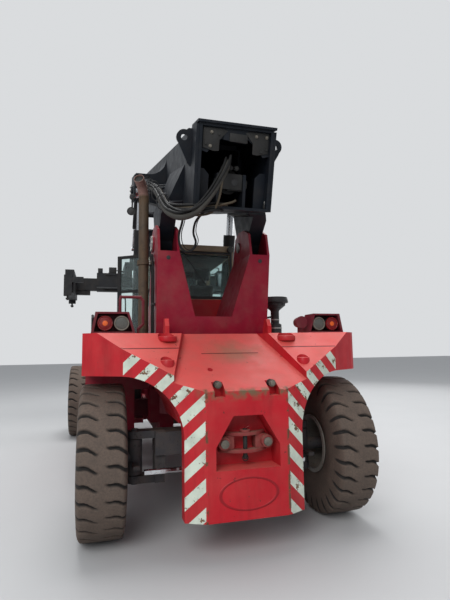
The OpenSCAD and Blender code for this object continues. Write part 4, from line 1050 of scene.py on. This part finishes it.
class STACKER_OT_casting(MachineOperator):
    """Adds the covers and bolts of the counterweight and the towers"""

    bl_idname = "stacker.casting"
    bl_label = "Counterweight and towers"

    # Lifting pads: across, forward, foot, top and width
    PADS = ((0.748, 0.305, 1.78, 1.888, 0.138), (0.698, 0.640, 2.075, 2.135, 0.208))
    # Corner plates that lie in the trough's slope: across and forward
    CORNER = ((0.57, 0.285), (0.672, 0.285), (0.672, 0.18))
    TROUGH_TOP, TROUGH_RISE = 1.581, 0.6

    def build(self, config):
        """Makes the small parts of the castings and the towers."""
        covers = Piece("casting_covers", "chassis", "red_paint")
        for side in SIDES:
            for x, y, low, high, width in self.PADS:
                covers.add(rod(place(side * x, y, low), place(side * x, y, high), width, 32, 0.01))
            corners = [place(side * x, y, self.TROUGH_TOP + self.TROUGH_RISE * y) for x, y in self.CORNER]
            covers.add(plate(corners, (0, 0, -0.012), 0), "cast_red")
        covers.done()
        pivots = Piece("pivot_covers", "chassis", "pin_steel")
        for side in SIDES:
            at = place(side * 0.7345, PIVOT.y - REAR_Y, PIVOT.z)
            out = Vector((side, 0, 0))
            pivots.add(rod(at, at + 0.018 * out, 0.235, 32, 0.004), "crimson_paint")
            bolt_circle(pivots, at + 0.018 * out, out, 0.09, 0.03, turns(6))
            # plug in the tower's rear plate
            hole = place(side * 0.603, 1.2135, 3.127)
            pivots.add(rod(hole, hole + Vector((0, -0.004, -0.0007)), 0.052, 20, 0.001), "black_plastic")
            # clamp bar over the lower pin of each lift cylinder
            foot = place(side * 0.93, 4.0, 0.95)
            pivots.add(rod(foot, foot + 0.016 * out, 0.19, 28, 0.004), "crimson_paint")
            bolt_circle(pivots, foot + 0.016 * out, out, 0.07, 0.026, (0.5, 2.6, 4.7))
        pivots.done()


class STACKER_OT_boom_tail(MachineOperator):
    """Adds the brackets, bolts and hoses at the boom's tail"""

    bl_idname = "stacker.boom_tail"
    bl_label = "Boom tail"

    # Outlines and bolts of the tail, across and above the pivot
    SIDE_PLATE = ((0.375, 1.335), (0.15, 1.335), (0.10, 1.317), (0.19, 1.217), (0.192, 1.10), (0.25, 1.094),
                  (0.375, 1.123))
    MIDDLE_PLATE = ((-0.08, 1.212), (0.125, 1.205), (0.125, 1.297), (-0.08, 1.30))
    CYLINDER_HEAD = ((-0.04, 0.70), (0.16, 0.70), (0.20, 0.74), (0.20, 0.82), (0.15, 0.865), (0.0, 0.865),
                     (-0.04, 0.83))
    BRIGHT_BOLTS = ((-0.282, 1.289), (-0.292, 1.144), (0.227, 1.291), (0.347, 1.293))
    DARK_BOLTS = ((-0.20, 1.27), (-0.345, 1.16), (0.29, 1.13), (0.35, 1.16))
    # Routes across, along and above the pivot
    MAIN_HOSE = ((-0.03, -0.90, 0.97), (-0.06, -1.10, 1.00), (-0.13, -1.24, 0.87), (-0.27, -1.30, 0.63),
                 (-0.43, -1.31, 0.43), (-0.585, -1.28, 0.36), (-0.677, -1.03, 0.394), (-0.70, -0.70, 0.46),
                 (-0.711, -0.357, 0.569), (-0.70, 0.10, 0.67), (-0.693, 0.525, 0.744), (-0.70, 1.0, 0.80),
                 (-0.70, 1.38, 0.84))
    LOW_HOSE = ((-0.06, -1.05, 0.505), (-0.18, -1.22, 0.50), (-0.34, -1.25, 0.47), (-0.50, -1.22, 0.455),
                (-0.63, -1.03, 0.455), (-0.68, -0.66, 0.50), (-0.69, -0.30, 0.60), (-0.685, 0.10, 0.70),
                (-0.68, 0.60, 0.775), (-0.68, 1.38, 0.86))
    THIN_HOSE = ((-0.08, -1.02, 0.98), (-0.14, -1.22, 0.90), (-0.167, -1.285, 0.74), (-0.19, -1.27, 0.57),
                 (-0.24, -1.20, 0.44), (-0.36, -0.98, 0.40), (-0.50, -0.80, 0.42))
    LOOP = ((-0.30, -1.02, 0.43), (-0.36, -0.93, 0.33), (-0.375, -0.90, 0.20), (-0.345, -0.92, 0.09),
            (-0.39, -0.95, 0.0), (-0.47, -0.95, -0.02), (-0.53, -0.94, 0.04), (-0.55, -0.93, 0.16),
            (-0.52, -0.93, 0.30), (-0.50, -0.92, 0.43))
    CLAMPS = ((-0.70, -0.55, 0.54), (-0.71, -0.05, 0.66), (-0.695, 0.55, 0.78), (-0.695, 1.05, 0.84))

    def build(self, config):
        """Makes the brackets and the hoses."""
        self.brackets(config.fittings.bolt * 0.8)
        self.hoses(config.fittings.hose)
        self.crosshead_covers()

    def brackets(self, size):
        """Plates and bolts inside the open tail."""
        piece = Piece("tail_brackets", "boom", "boom_paint")
        for side in SIDES:
            points = [on_boom(side * x, -1.161, v) for x, v in self.SIDE_PLATE]
            piece.add(plate(points, -0.012 * ALONG, 0.003), "grimy_steel")
        for spots, share, finish in ((self.BRIGHT_BOLTS, 0.95, "worn_bolt"),
                                     (self.DARK_BOLTS, 0.8, "grimy_steel")):
            for x, v in spots:
                piece.add(bolt(on_boom(x, -1.173, v), -ALONG, size * share), finish)
        middle = [on_boom(x, -1.171, v) for x, v in self.MIDDLE_PLATE]
        piece.add(plate(middle, -0.01 * ALONG, 0.003), "grimy_steel")
        # rollers and hose fittings over the base of the telescope cylinder
        for x in (-0.075, 0.0, 0.07):
            for near, far, width, sides, edge in ((-1.02, -0.88, 0.05, 14, 0.004),
                                                  (-0.99, -0.96, 0.066, 6, 0.003)):
                start, end = on_boom(x, near, 0.955), on_boom(x, far, 0.955)
                piece.add(rod(start, end, width, sides, edge), "grimy_steel")
        corners = [on_boom(x, -1.04, v) for x, v in self.CYLINDER_HEAD]
        piece.add(plate(corners, 0.10 * ALONG, 0.012), "grimy_steel")
        piece.add(rod(on_boom(0.04, -1.042, 0.79), on_boom(0.04, -1.055, 0.79), 0.075, 20, 0.003),
                  "black_plastic")
        piece.done()

    def hoses(self, width):
        """The bundle that leaves the tail, turns round its corner and runs forward to the crosshead."""
        piece = Piece("boom_hoses", "boom", "black_plastic")
        bundles = (
            (self.MAIN_HOSE, width * 1.75, "hose_grey", ((0, 0, 0),)),
            (self.MAIN_HOSE, width * 0.8, "hose_rubber",
             ((0.035, 0.03, 0.035), (-0.02, 0.025, 0.05), (0.02, -0.02, 0.07))),
            (self.LOW_HOSE, width * 0.9, "hose_rubber",
             ((0, 0, 0), (0, 0.05, 0.045), (-0.03, -0.03, -0.035))),
            (self.LOW_HOSE, width * 0.8, "hose_brown", ((0.035, 0.02, 0.02),)),
            (self.THIN_HOSE, width * 0.7, "hose_brown", ((0, 0, 0),)),
            (self.LOOP, width * 0.75, "hose_rubber", ((0, 0, 0),)),
            (self.LOOP, width * 0.3, "hose_rubber", ((0.035, 0.03, 0.02),)),
        )
        for line, thick, finish, shifts in bundles:
            for dx, du, dv in shifts:
                points = [on_boom(x + dx, u + du, v + dv) for x, u, v in line]
                piece.add(tube(points, thick, 10, 5), finish)
        for x, u, v in self.CLAMPS:
            band = hoop(on_boom(x, u, v), Vector((0.075, 0, 0)), 0.095 * ABOVE, 0.016, 6, 14)
            piece.add(band, "black_plastic")
            piece.add(rod(on_boom(x + 0.07, u, v), on_boom(-0.42, u, v + 0.03), 0.03, 10, 0.003),
                      "boom_paint")
        lip = ((-0.19, -1.16, 0.525), (-0.14, -1.235, 0.53), (-0.03, -1.24, 0.56), (0.02, -1.21, 0.585))
        piece.add(tube([on_boom(*p) for p in lip], 0.026, 8, 5), "hose_brown")
        # valve on the right-hand corner
        corner = on_boom(0.40, -1.13, 0.50)
        piece.add(rod(corner, corner + 0.07 * ABOVE, 0.045, 12, 0.004), "grimy_steel")
        piece.add(rod(corner + 0.07 * ABOVE, corner + 0.105 * ABOVE, 0.03, 6, 0.002), "bolt_steel")
        piece.done(smooth=0.9)

    def crosshead_covers(self):
        """Bolts on the covers of the lift cylinders' upper pins."""
        piece = Piece("crosshead_bolts", "boom", "pin_steel")
        for side in SIDES:
            centre = on_boom(side * 0.9495, 1.648, 0.776)
            out = Vector((side, 0, 0))
            bolt_circle(piece, centre, out, 0.068, 0.026, turns(6), ALONG, ABOVE)
            piece.add(rod(centre, centre + 0.012 * out, 0.05, 12, 0.002), "bolt_steel")
        piece.done()


class STACKER_OT_wheels(MachineOperator):
    """Adds the hub covers, wheel nuts and valves"""

    bl_idname = "stacker.wheels"
    bl_label = "Hubs and nuts"

    def build(self, config):
        """Makes the hubs of the four wheel bodies."""
        for side in SIDES:
            name = SIDE_NAMES[side]
            self.hub(side, f"rim_rear_{name}", f"wheel_rear_{name[0]}", 0.09, 0.20, 0.17, 0.235, 12)
            self.hub(side, f"rims_front_{name}", f"wheels_front_{name[0]}", -0.04, 0.06, 0.225, 0.266, 20)

    def hub(self, side, rim, body, disc, end, radius, circle, nuts):
        """A cover on the hub's end, and a circle of nuts on the disc."""
        low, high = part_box(rim)
        out = Vector((side, 0, 0))
        outer = high.x if side > 0 else low.x
        centre = Vector((outer - side * 0.22, (low.y + high.y) / 2, (low.z + high.z) / 2))
        piece = Piece(f"hub_{rim.split('_', 1)[1]}", body, "pin_steel")
        start = centre + end * out
        piece.add(turned([(0, -0.005), (0.92 * radius, -0.005), (0.92 * radius, 0.012), (0.8 * radius, 0.022),
                          (0.62 * radius, 0.026), (0.58 * radius, 0.038), (0, 0.042)], start, start + out,
                          40),
                  "axle_paint")
        for count, ring, face, width in ((nuts, circle, disc, 0.034), (8, 0.74 * radius, end + 0.021, 0.022)):
            bolt_circle(piece, centre + face * out, out, ring, width, turns(count))
        stem = centre + (disc + 0.002) * out + Vector((0, 0.285, 0))
        piece.add(rod(stem, stem + 0.06 * out, 0.012, 8, 0.001), "bolt_steel")
        piece.done()


class STACKER_OT_cab(MachineOperator):
    """Fits the cab out: gaskets, lining, wipers, mirrors and the door's handle"""

    bl_idname = "stacker.cab"
    bl_label = "Cab"

    # Windows across the cab: place, which way they look, half width, sill and head
    WINDOWS = ((2.40, -1, 0.53, 2.79, 3.445), (4.0, 1, 0.53, 2.78, 3.45), (4.0, 1, 0.43, 2.15, 2.64))
    MIRROR_ARM = ((0.60, 3.97, 3.50), (0.68, 4.01, 3.53), (0.78, 4.0, 3.52), (0.78, 3.99, 3.40))

    def build(self, config):
        """Makes the cab's trim and its seat."""
        trim = Piece("cab_trim", "chassis", "black_plastic")
        for y, back, x, low, high in self.WINDOWS:
            self.gasket(trim, lambda a, b, d: place(a, y + back * d, b), -x, x, low, high)
        self.gasket(trim, lambda a, b, d: place(0.59 + d, a, b), 2.47, 3.91, 2.79, 3.44)
        self.gasket(trim, lambda a, b, d: place(-0.59 - d, a, b), 3.11, 3.91, 2.79, 3.44)
        trim.add(block(place(-0.53, 2.47, 3.405), place(0.53, 3.93, 3.45), 0.01))
        trim.add(block(place(-0.50, 3.87, 3.30), place(0.50, 3.91, 3.41), 0.01))
        trim.add(block(place(0.27, 3.74, 3.12), place(0.47, 3.79, 3.26), 0.01))
        trim.add(rod(place(0.37, 3.78, 3.24), place(0.37, 3.86, 3.40), 0.02, 8))
        # wipers, front and rear
        for y, out, x, z, turn in ((4.0, 1, 0.05, 2.80, 0.5), (2.40, -1, -0.20, 3.43, 2.5)):
            hub = place(x, y + out * 0.012, z)
            tip = hub + Vector((0.46 * math.sin(turn), 0, 0.46 * math.cos(turn)))
            trim.add(rod(hub, hub + Vector((0, out * 0.028, 0)), 0.04, 14, 0.003))
            trim.add(rod(hub + Vector((0, out * 0.022, 0)), tip + Vector((0, out * 0.02, 0)), 0.014, 8))
            along = (tip - hub).normalized() * 0.2
            trim.add(rod(tip - along + Vector((0, out * 0.01, 0)),
                         tip + along * 0.6 + Vector((0, out * 0.01, 0)), 0.018, 6))
        # mirrors on arms at the front corners
        for side in SIDES:
            trim.add(tube([place(side * x, y, z) for x, y, z in self.MIRROR_ARM], 0.02, 8, 5))
            x = side * 0.78
            trim.add(block(place(x - 0.075, 3.985, 3.16), place(x + 0.075, 4.02, 3.44), 0.014))
            trim.add(block(place(x - 0.066, 3.982, 3.175), place(x + 0.066, 3.988, 3.425), 0.002),
                     "mirror_glass")
        # grab rail beside the door
        rail = [place(-0.605, 3.16, 2.2), place(-0.65, 3.17, 2.24), place(-0.65, 3.17, 2.9),
                place(-0.605, 3.16, 2.94)]
        trim.add(tube(rail, 0.026, 8, 5))
        trim.done()
        self.door(config.fittings.bolt)
        self.seat()

    def gasket(self, piece, point, left, right, low, high, width=0.042, proud=0.007):
        """A rubber frame round a window: point turns across, height and depth into a place."""
        for a, b, c, d in ((left - width, right + width, low - width, low),
                           (left - width, right + width, high, high + width),
                           (left - width, left, low, high), (right, right + width, low, high)):
            first, last = point(a, c, -0.002), point(b, d, proud)
            corners = [[f(p, q) for p, q in zip(first, last)] for f in (min, max)]
            piece.add(block(*corners, 0.004))

    def door(self, size):
        """The handles and the hinge bolts of the door, set along its open leaf."""
        hinge = joint("cab_door_swing")
        axis = Vector(hinge["pos_m"])
        turn = math.radians(-hinge["range_deg"][0])
        along = Vector((-math.sin(turn), math.cos(turn), 0))
        out = Vector((-math.cos(turn), -math.sin(turn), 0))
        piece = Piece("door_handle", "cab_door", "black_plastic")

        def spot(a, b, z):
            return Vector((axis.x, axis.y, 0)) + a * along + b * out + z * UP

        grip = [spot(0.585, b, z) for b, z in ((0.018, 2.42), (0.062, 2.44), (0.062, 2.62), (0.018, 2.64))]
        piece.add(tube(grip, 0.022, 10, 5))
        piece.add(rod(spot(0.585, 0.014, 2.53), spot(0.585, 0.03, 2.53), 0.05, 16, 0.003))
        inside = [spot(0.54, -b, z) for b, z in ((0.018, 2.3), (0.07, 2.33), (0.07, 2.75), (0.018, 2.78))]
        piece.add(tube(inside, 0.022, 10, 5))
        for z in (2.2, 3.05):
            piece.add(bolt(spot(0.03, 0.018, z), out, size * 0.6), "bolt_steel")
        piece.done()

    def seat(self):
        """The driver's seat: a hard base, and three cushions that bulge under their covers."""
        base = Piece("seat_base", "chassis", "black_plastic")
        middle, y, foot = 0.125, 2.96, 1.95

        def slab(half, back, ahead, low, high, edge, finish=None):
            """A level slab of the base, between two heights over its foot."""
            start = place(middle - half, y - back, foot + low)
            base.add(block(start, place(middle + half, y + ahead, foot + high), edge), finish)

        slab(0.16, 0.16, 0.2, 0.0, 0.07, 0.01)
        for i in range(6):
            low = 0.07 + 0.033 * i
            slab(0.14 - 0.006 * (i % 2), 0.14, 0.18, low, low + 0.033, 0.008, "hose_rubber")
        slab(0.2, 0.19, 0.24, 0.27, 0.33, 0.01)
        for x in (-0.07, 0.07):
            base.add(rod(place(middle + x, 2.64, 3.0), place(middle + x, 2.60, 3.14), 0.014, 10),
                     "bolt_steel")
        for side in SIDES:
            x = middle + side * 0.275
            base.add(block(place(x - 0.03, 2.74, 2.56), place(x + 0.03, 3.02, 2.61), 0.018))
        base.done("driver_seat")
        lean = Matrix.Rotation(math.radians(10), 4, "X")
        hip = place(middle, 2.75, 2.38)
        self.cushion("seat_cushion", place(middle, 3.0, 2.335), Matrix(), (0.44, 0.46, 0.11), 0.022)
        self.cushion("seat_back", hip + lean @ Vector((0, -0.035, 0.33)), lean, (0.40, 0.10, 0.60), 0.022)
        self.cushion("seat_headrest", hip + lean @ Vector((0, -0.045, 0.79)), lean, (0.25, 0.075, 0.19),
                     0.012)

    def cushion(self, name, centre, turn, size, most):
        """A padded cushion: a soft shape blown up inside its cover, its bulge held to a few millimetres."""
        shape = bmesh.new()
        whole = Matrix.Translation(centre) @ turn @ Matrix.Diagonal((*size, 1))
        bmesh.ops.create_cube(shape, size=1, matrix=whole)
        soften(shape, min(size) * 0.3, 3)
        piece = Piece(name, "chassis", "seat_fabric")
        piece.add(shape)
        made = piece.done(smooth=1.4)
        self.blow_up(made, most)

    def blow_up(self, made, most):
        """Presses the cover outwards as cloth, then rounds it off."""
        remesh = made.modifiers.new("even", "REMESH")
        remesh.mode = "VOXEL"
        remesh.voxel_size = 0.006
        self.apply(made, remesh)
        before = [v.co.copy() for v in made.data.vertices]
        cloth = made.modifiers.new("cover", "CLOTH")
        cloth.settings.use_pressure = True
        cloth.settings.uniform_pressure_force = 4
        cloth.settings.effector_weights.gravity = 0
        scene = bpy.context.scene
        for step in range(1, 21):
            scene.frame_set(step)
        self.apply(made, cloth)
        scene.frame_set(1)
        for vert, start in zip(made.data.vertices, before):
            moved = vert.co - start
            if moved.length > most:
                vert.co = start + moved.normalized() * most
        smooth = made.modifiers.new("smooth", "SUBSURF")
        smooth.levels = smooth.render_levels = 1
        self.apply(made, smooth)

    def apply(self, made, modifier):
        """Applies one modifier."""
        with bpy.context.temp_override(object=made, active_object=made, selected_objects=[made]):
            bpy.ops.object.modifier_apply(modifier=modifier.name)


class STACKER_OT_pipes(MachineOperator):
    """Makes the pre-cleaner, and adds hoses and clamps beside the towers"""

    bl_idname = "stacker.pipes"
    bl_label = "Pre-cleaner and pipes"

    def build(self, config):
        """Makes the intake's head and the pipes."""
        low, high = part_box("air_precleaner")
        centre = Vector(((low.x + high.x) / 2, (low.y + high.y) / 2, 0))
        radius = (high.x - low.x) / 2
        piece = Piece("precleaner_head", "chassis", "black_plastic")
        at = centre + Vector((0, 0, low.z))
        # pairs of radius and height
        body = ((0, 0), (0.1, 0), (0.1, 0.86), (0.094, 0.87), (0.065, 0.885), (0.065, 1.07), (0.072, 1.085),
                (0.145, 1.145), (0.155, 1.15), (0.16, 1.16), (0.16, 1.198), (0.20, 1.2))
        head = ((radius - 0.004, 1.206), (radius - 0.004, 1.23), (radius - 0.02, 1.285), (0.10, 1.2945),
                (0, 1.2945))
        piece.add(turned(body + head, at, at + UP, 48))
        for i, turn in enumerate(turns(36)):
            ray = Vector((math.cos(turn), math.sin(turn), 0))
            foot, tip = at + ray * (radius - 0.008) + UP * 1.208, at + ray * (radius - 0.024) + UP * 1.28
            piece.add(rod(foot, tip, 0.011, 6))
            if i % 3 == 0:
                piece.add(rod(at + ray * 0.16 + UP * 1.155, at + ray * 0.16 + UP * 1.195, 0.012, 6))
        for z in (0.30, 0.80, 0.93):
            wide = 0.104 if z < 0.85 else 0.069
            band = [(wide - 0.006, z), (wide, z), (wide, z + 0.018), (wide - 0.006, z + 0.018),
                    (wide - 0.006, z)]
            piece.add(turned(band, at, at + UP), "bolt_steel")
        piece.done("air_precleaner", smooth=0.7)
        hoses = Piece("tower_hoses", "chassis", "black_plastic")
        lines = (
            ((-0.765, 1.46, 1.72), (-0.765, 1.46, 2.4), (-0.762, 1.50, 3.0), (-0.765, 1.60, 3.22),
             (-0.75, 1.72, 3.24)),
            ((-0.775, 1.50, 1.72), (-0.775, 1.50, 2.4), (-0.772, 1.54, 2.96), (-0.772, 1.68, 3.14),
             (-0.75, 1.80, 3.14)),
            ((0.765, 1.50, 1.72), (0.765, 1.50, 2.5), (0.765, 1.55, 3.05), (0.75, 1.66, 3.15)),
            ((1.20, 2.20, 1.53), (1.10, 2.05, 1.56), (0.96, 1.98, 1.62), (0.80, 1.98, 1.64)),
        )
        for line, thick in zip(lines, (0.03, 0.024, 0.03, 0.05)):
            hoses.add(tube([place(*p) for p in line], thick, 10, 5), "hose_rubber")
        for side, z in ((-1, 2.0), (-1, 2.55), (1, 2.0), (1, 2.6)):
            hoses.add(block(place(side * 0.76 - 0.026, 1.445, z),
                            place(side * 0.76 + 0.026, 1.525, z + 0.03), 0.004))
        # soot that blackens the exhaust's mouth
        aside, lean = math.radians(-115), math.radians(65)
        flat = Vector((math.cos(aside), math.sin(aside), 0))
        heading = math.sin(lean) * flat + math.cos(lean) * UP
        start = place(-0.873, 1.6, 3.972) + 0.1144 * flat + 0.1797 * UP
        hoses.add(rod(start + 0.056 * heading, start + 0.073 * heading, 0.117, 24), "grimy_steel")
        # bolts of the exhaust's clamp
        for z in (3.105, 3.135):
            hoses.add(bolt(place(-0.80, 1.565, z), (0, -1, 0), 0.02), "bolt_steel")
        hoses.done(smooth=0.9)


class STACKER_OT_spreader(MachineOperator):
    """Adds the valve boxes, motors and hoses of the spreader"""

    bl_idname = "stacker.spreader"
    bl_label = "Spreader"

    # Hose of a sliding beam: along the machine from its middle, and up from its top
    END_HOSE = ((-0.48, -0.05), (-0.60, -0.24), (-0.75, -0.30), (-0.92, -0.31))

    def build(self, config):
        """Makes what sits on the spreader's frame and its two sliding beams."""
        low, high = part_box("spreader_frame")
        middle = (low + high) / 2
        piece = Piece("spreader_fittings", "spreader", "black_paint")
        for side in SIDES:
            for near, far, height in ((1.98, 2.12, 0.15), (1.58, 1.80, 0.19)):
                for beam in SIDES:
                    y = middle.y + beam * 0.48
                    a, b = sorted((middle.x + side * near, middle.x + side * far))
                    piece.add(block((a, y - 0.10, high.z - 0.002), (b, y + 0.10, high.z + height), 0.008))
            for i, x in enumerate((0.75, 0.95, 1.15)):
                y = middle.y - 0.48
                line = [(middle.x + side * x, y, high.z + 0.02),
                        (middle.x + side * (x + 0.3), y - 0.03, high.z + 0.07),
                        (middle.x + side * 1.52, y - 0.02 * i, high.z + 0.10),
                        (middle.x + side * 1.60, y - 0.02 * i, high.z + 0.10)]
                piece.add(tube(line, 0.026, 8, 5), "hose_rubber")
        piece.done()
        for name, side in (("left", -1), ("right", 1)):
            low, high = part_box(f"spreader_beam_{name}")
            end = low.x if side < 0 else high.x
            ends = Piece(f"spreader_end_{name}", f"beam_{name[0]}", "black_paint")
            for y in (-0.9, -0.3, 0.3, 0.9):
                at = Vector((end - side * 0.11, middle.y + y, high.z - 0.42))
                ends.add(block(at - Vector((0.05, 0.08, 0)), at + Vector((0.05, 0.08, 0.11)), 0.008),
                         "grimy_steel")
            for y in (-0.96, 0.96):
                motor = Vector((end - side * 0.11, middle.y + y, high.z - 0.33))
                ends.add(rod(motor, motor + Vector((0, 0, 0.09)), 0.09, 16, 0.006), "hose_brown")
            line = [(end - side * 0.16, middle.y + y, high.z + z) for y, z in self.END_HOSE]
            ends.add(tube(line, 0.024, 8, 5), "hose_rubber")
            ends.done()


class STACKER_OT_decks(MachineOperator):
    """Adds tread to the decks, and the caps, bolts and louvres of the tanks and the cover"""

    bl_idname = "stacker.decks"
    bl_label = "Decks and tanks"

    def build(self, config):
        """Makes the small parts of the decks, the tanks and the engine's cover."""
        size = config.fittings.bolt
        decks = Piece("deck_tread", "chassis", "crimson_paint")
        for side in SIDES:
            for i in range(20):
                y = 2.3 + 0.19 * i
                for k in range(3):
                    x = side * (0.98 + 0.2 * k)
                    lean = 0.03 if (i + k) % 2 else -0.03
                    top = 1.485
                    start, end = place(x - 0.045, y - lean, top), place(x + 0.045, y + lean, top)
                    decks.add(rod(start, end, 0.008, 6))
        decks.done()
        caps = Piece("tank_fittings", "chassis", "black_plastic")
        for side, y in ((-1, 5.6), (1, 5.7)):
            cap = place(side * 1.36, y, 1.45 if side < 0 else 1.51)
            caps.add(turned([(0, 0), (0.062, 0), (0.062, 0.02), (0.055, 0.03), (0.055, 0.055),
                             (0.05, 0.062), (0, 0.064)], cap, cap + UP))
        for side in SIDES:
            x = side * 1.5
            for y in (2.6, 3.6, 4.6, 5.6):
                for z in (0.68, 1.30):
                    caps.add(bolt(place(x, y, z), (side, 0, 0), size * 0.8), "bolt_steel")
        caps.done()
        cover = Piece("cover_louvres", "chassis", "crimson_paint")
        for side in SIDES:
            for panel in range(3):
                y = 4.25 + 0.62 * panel
                for i in range(6):
                    z = 1.52 + 0.05 * i
                    a, b = sorted((side * 0.598, side * 0.612))
                    cover.add(block(place(a, y, z), place(b, y + 0.48, z + 0.02), 0.003))
        cover.done()


class STACKER_PT_panel(Panel):
    """Lists the machine's settings and its operators"""

    bl_idname = "STACKER_PT_panel"
    bl_label = "Reach stacker"
    bl_space_type = "VIEW_3D"
    bl_region_type = "UI"
    bl_category = "Reach stacker"

    def draw(self, context):
        """Draws the settings, then a button for each operator."""
        config = settings()
        for group in (config.colours, config.stripes, config.marks, config.tyres, config.fittings,
                      config.stage):
            box = self.layout.box()
            for key in type(group).__annotations__:
                box.prop(group, key)
        for operator in OPERATORS:
            self.layout.operator(operator.bl_idname)


OPERATORS = (
    STACKER_OT_stage, STACKER_OT_finishes, STACKER_OT_tyres, STACKER_OT_wheels, STACKER_OT_lamps,
    STACKER_OT_coupling, STACKER_OT_casting, STACKER_OT_boom_tail, STACKER_OT_cab, STACKER_OT_pipes,
    STACKER_OT_spreader, STACKER_OT_decks,
)
GROUPS = (PaintColours, StripeSizes, MarkSizes, TyreSizes, FittingSizes, StageSettings, MachineSettings)


def register():
    """Registers the settings, the operators and the panel."""
    for item in (*GROUPS, *OPERATORS, STACKER_PT_panel):
        bpy.utils.register_class(item)
    bpy.types.Scene.reach_stacker = PointerProperty(type=MachineSettings)


def unregister():
    """Takes them away again."""
    del bpy.types.Scene.reach_stacker
    for item in reversed((*GROUPS, *OPERATORS, STACKER_PT_panel)):
        bpy.utils.unregister_class(item)


def main():
    """Dresses the machine."""
    register()
    for operator in OPERATORS:
        getattr(bpy.ops.stacker, operator.bl_idname.split(".")[1])()
    bpy.context.view_layer.update()


if __name__ == "__main__":
    main()
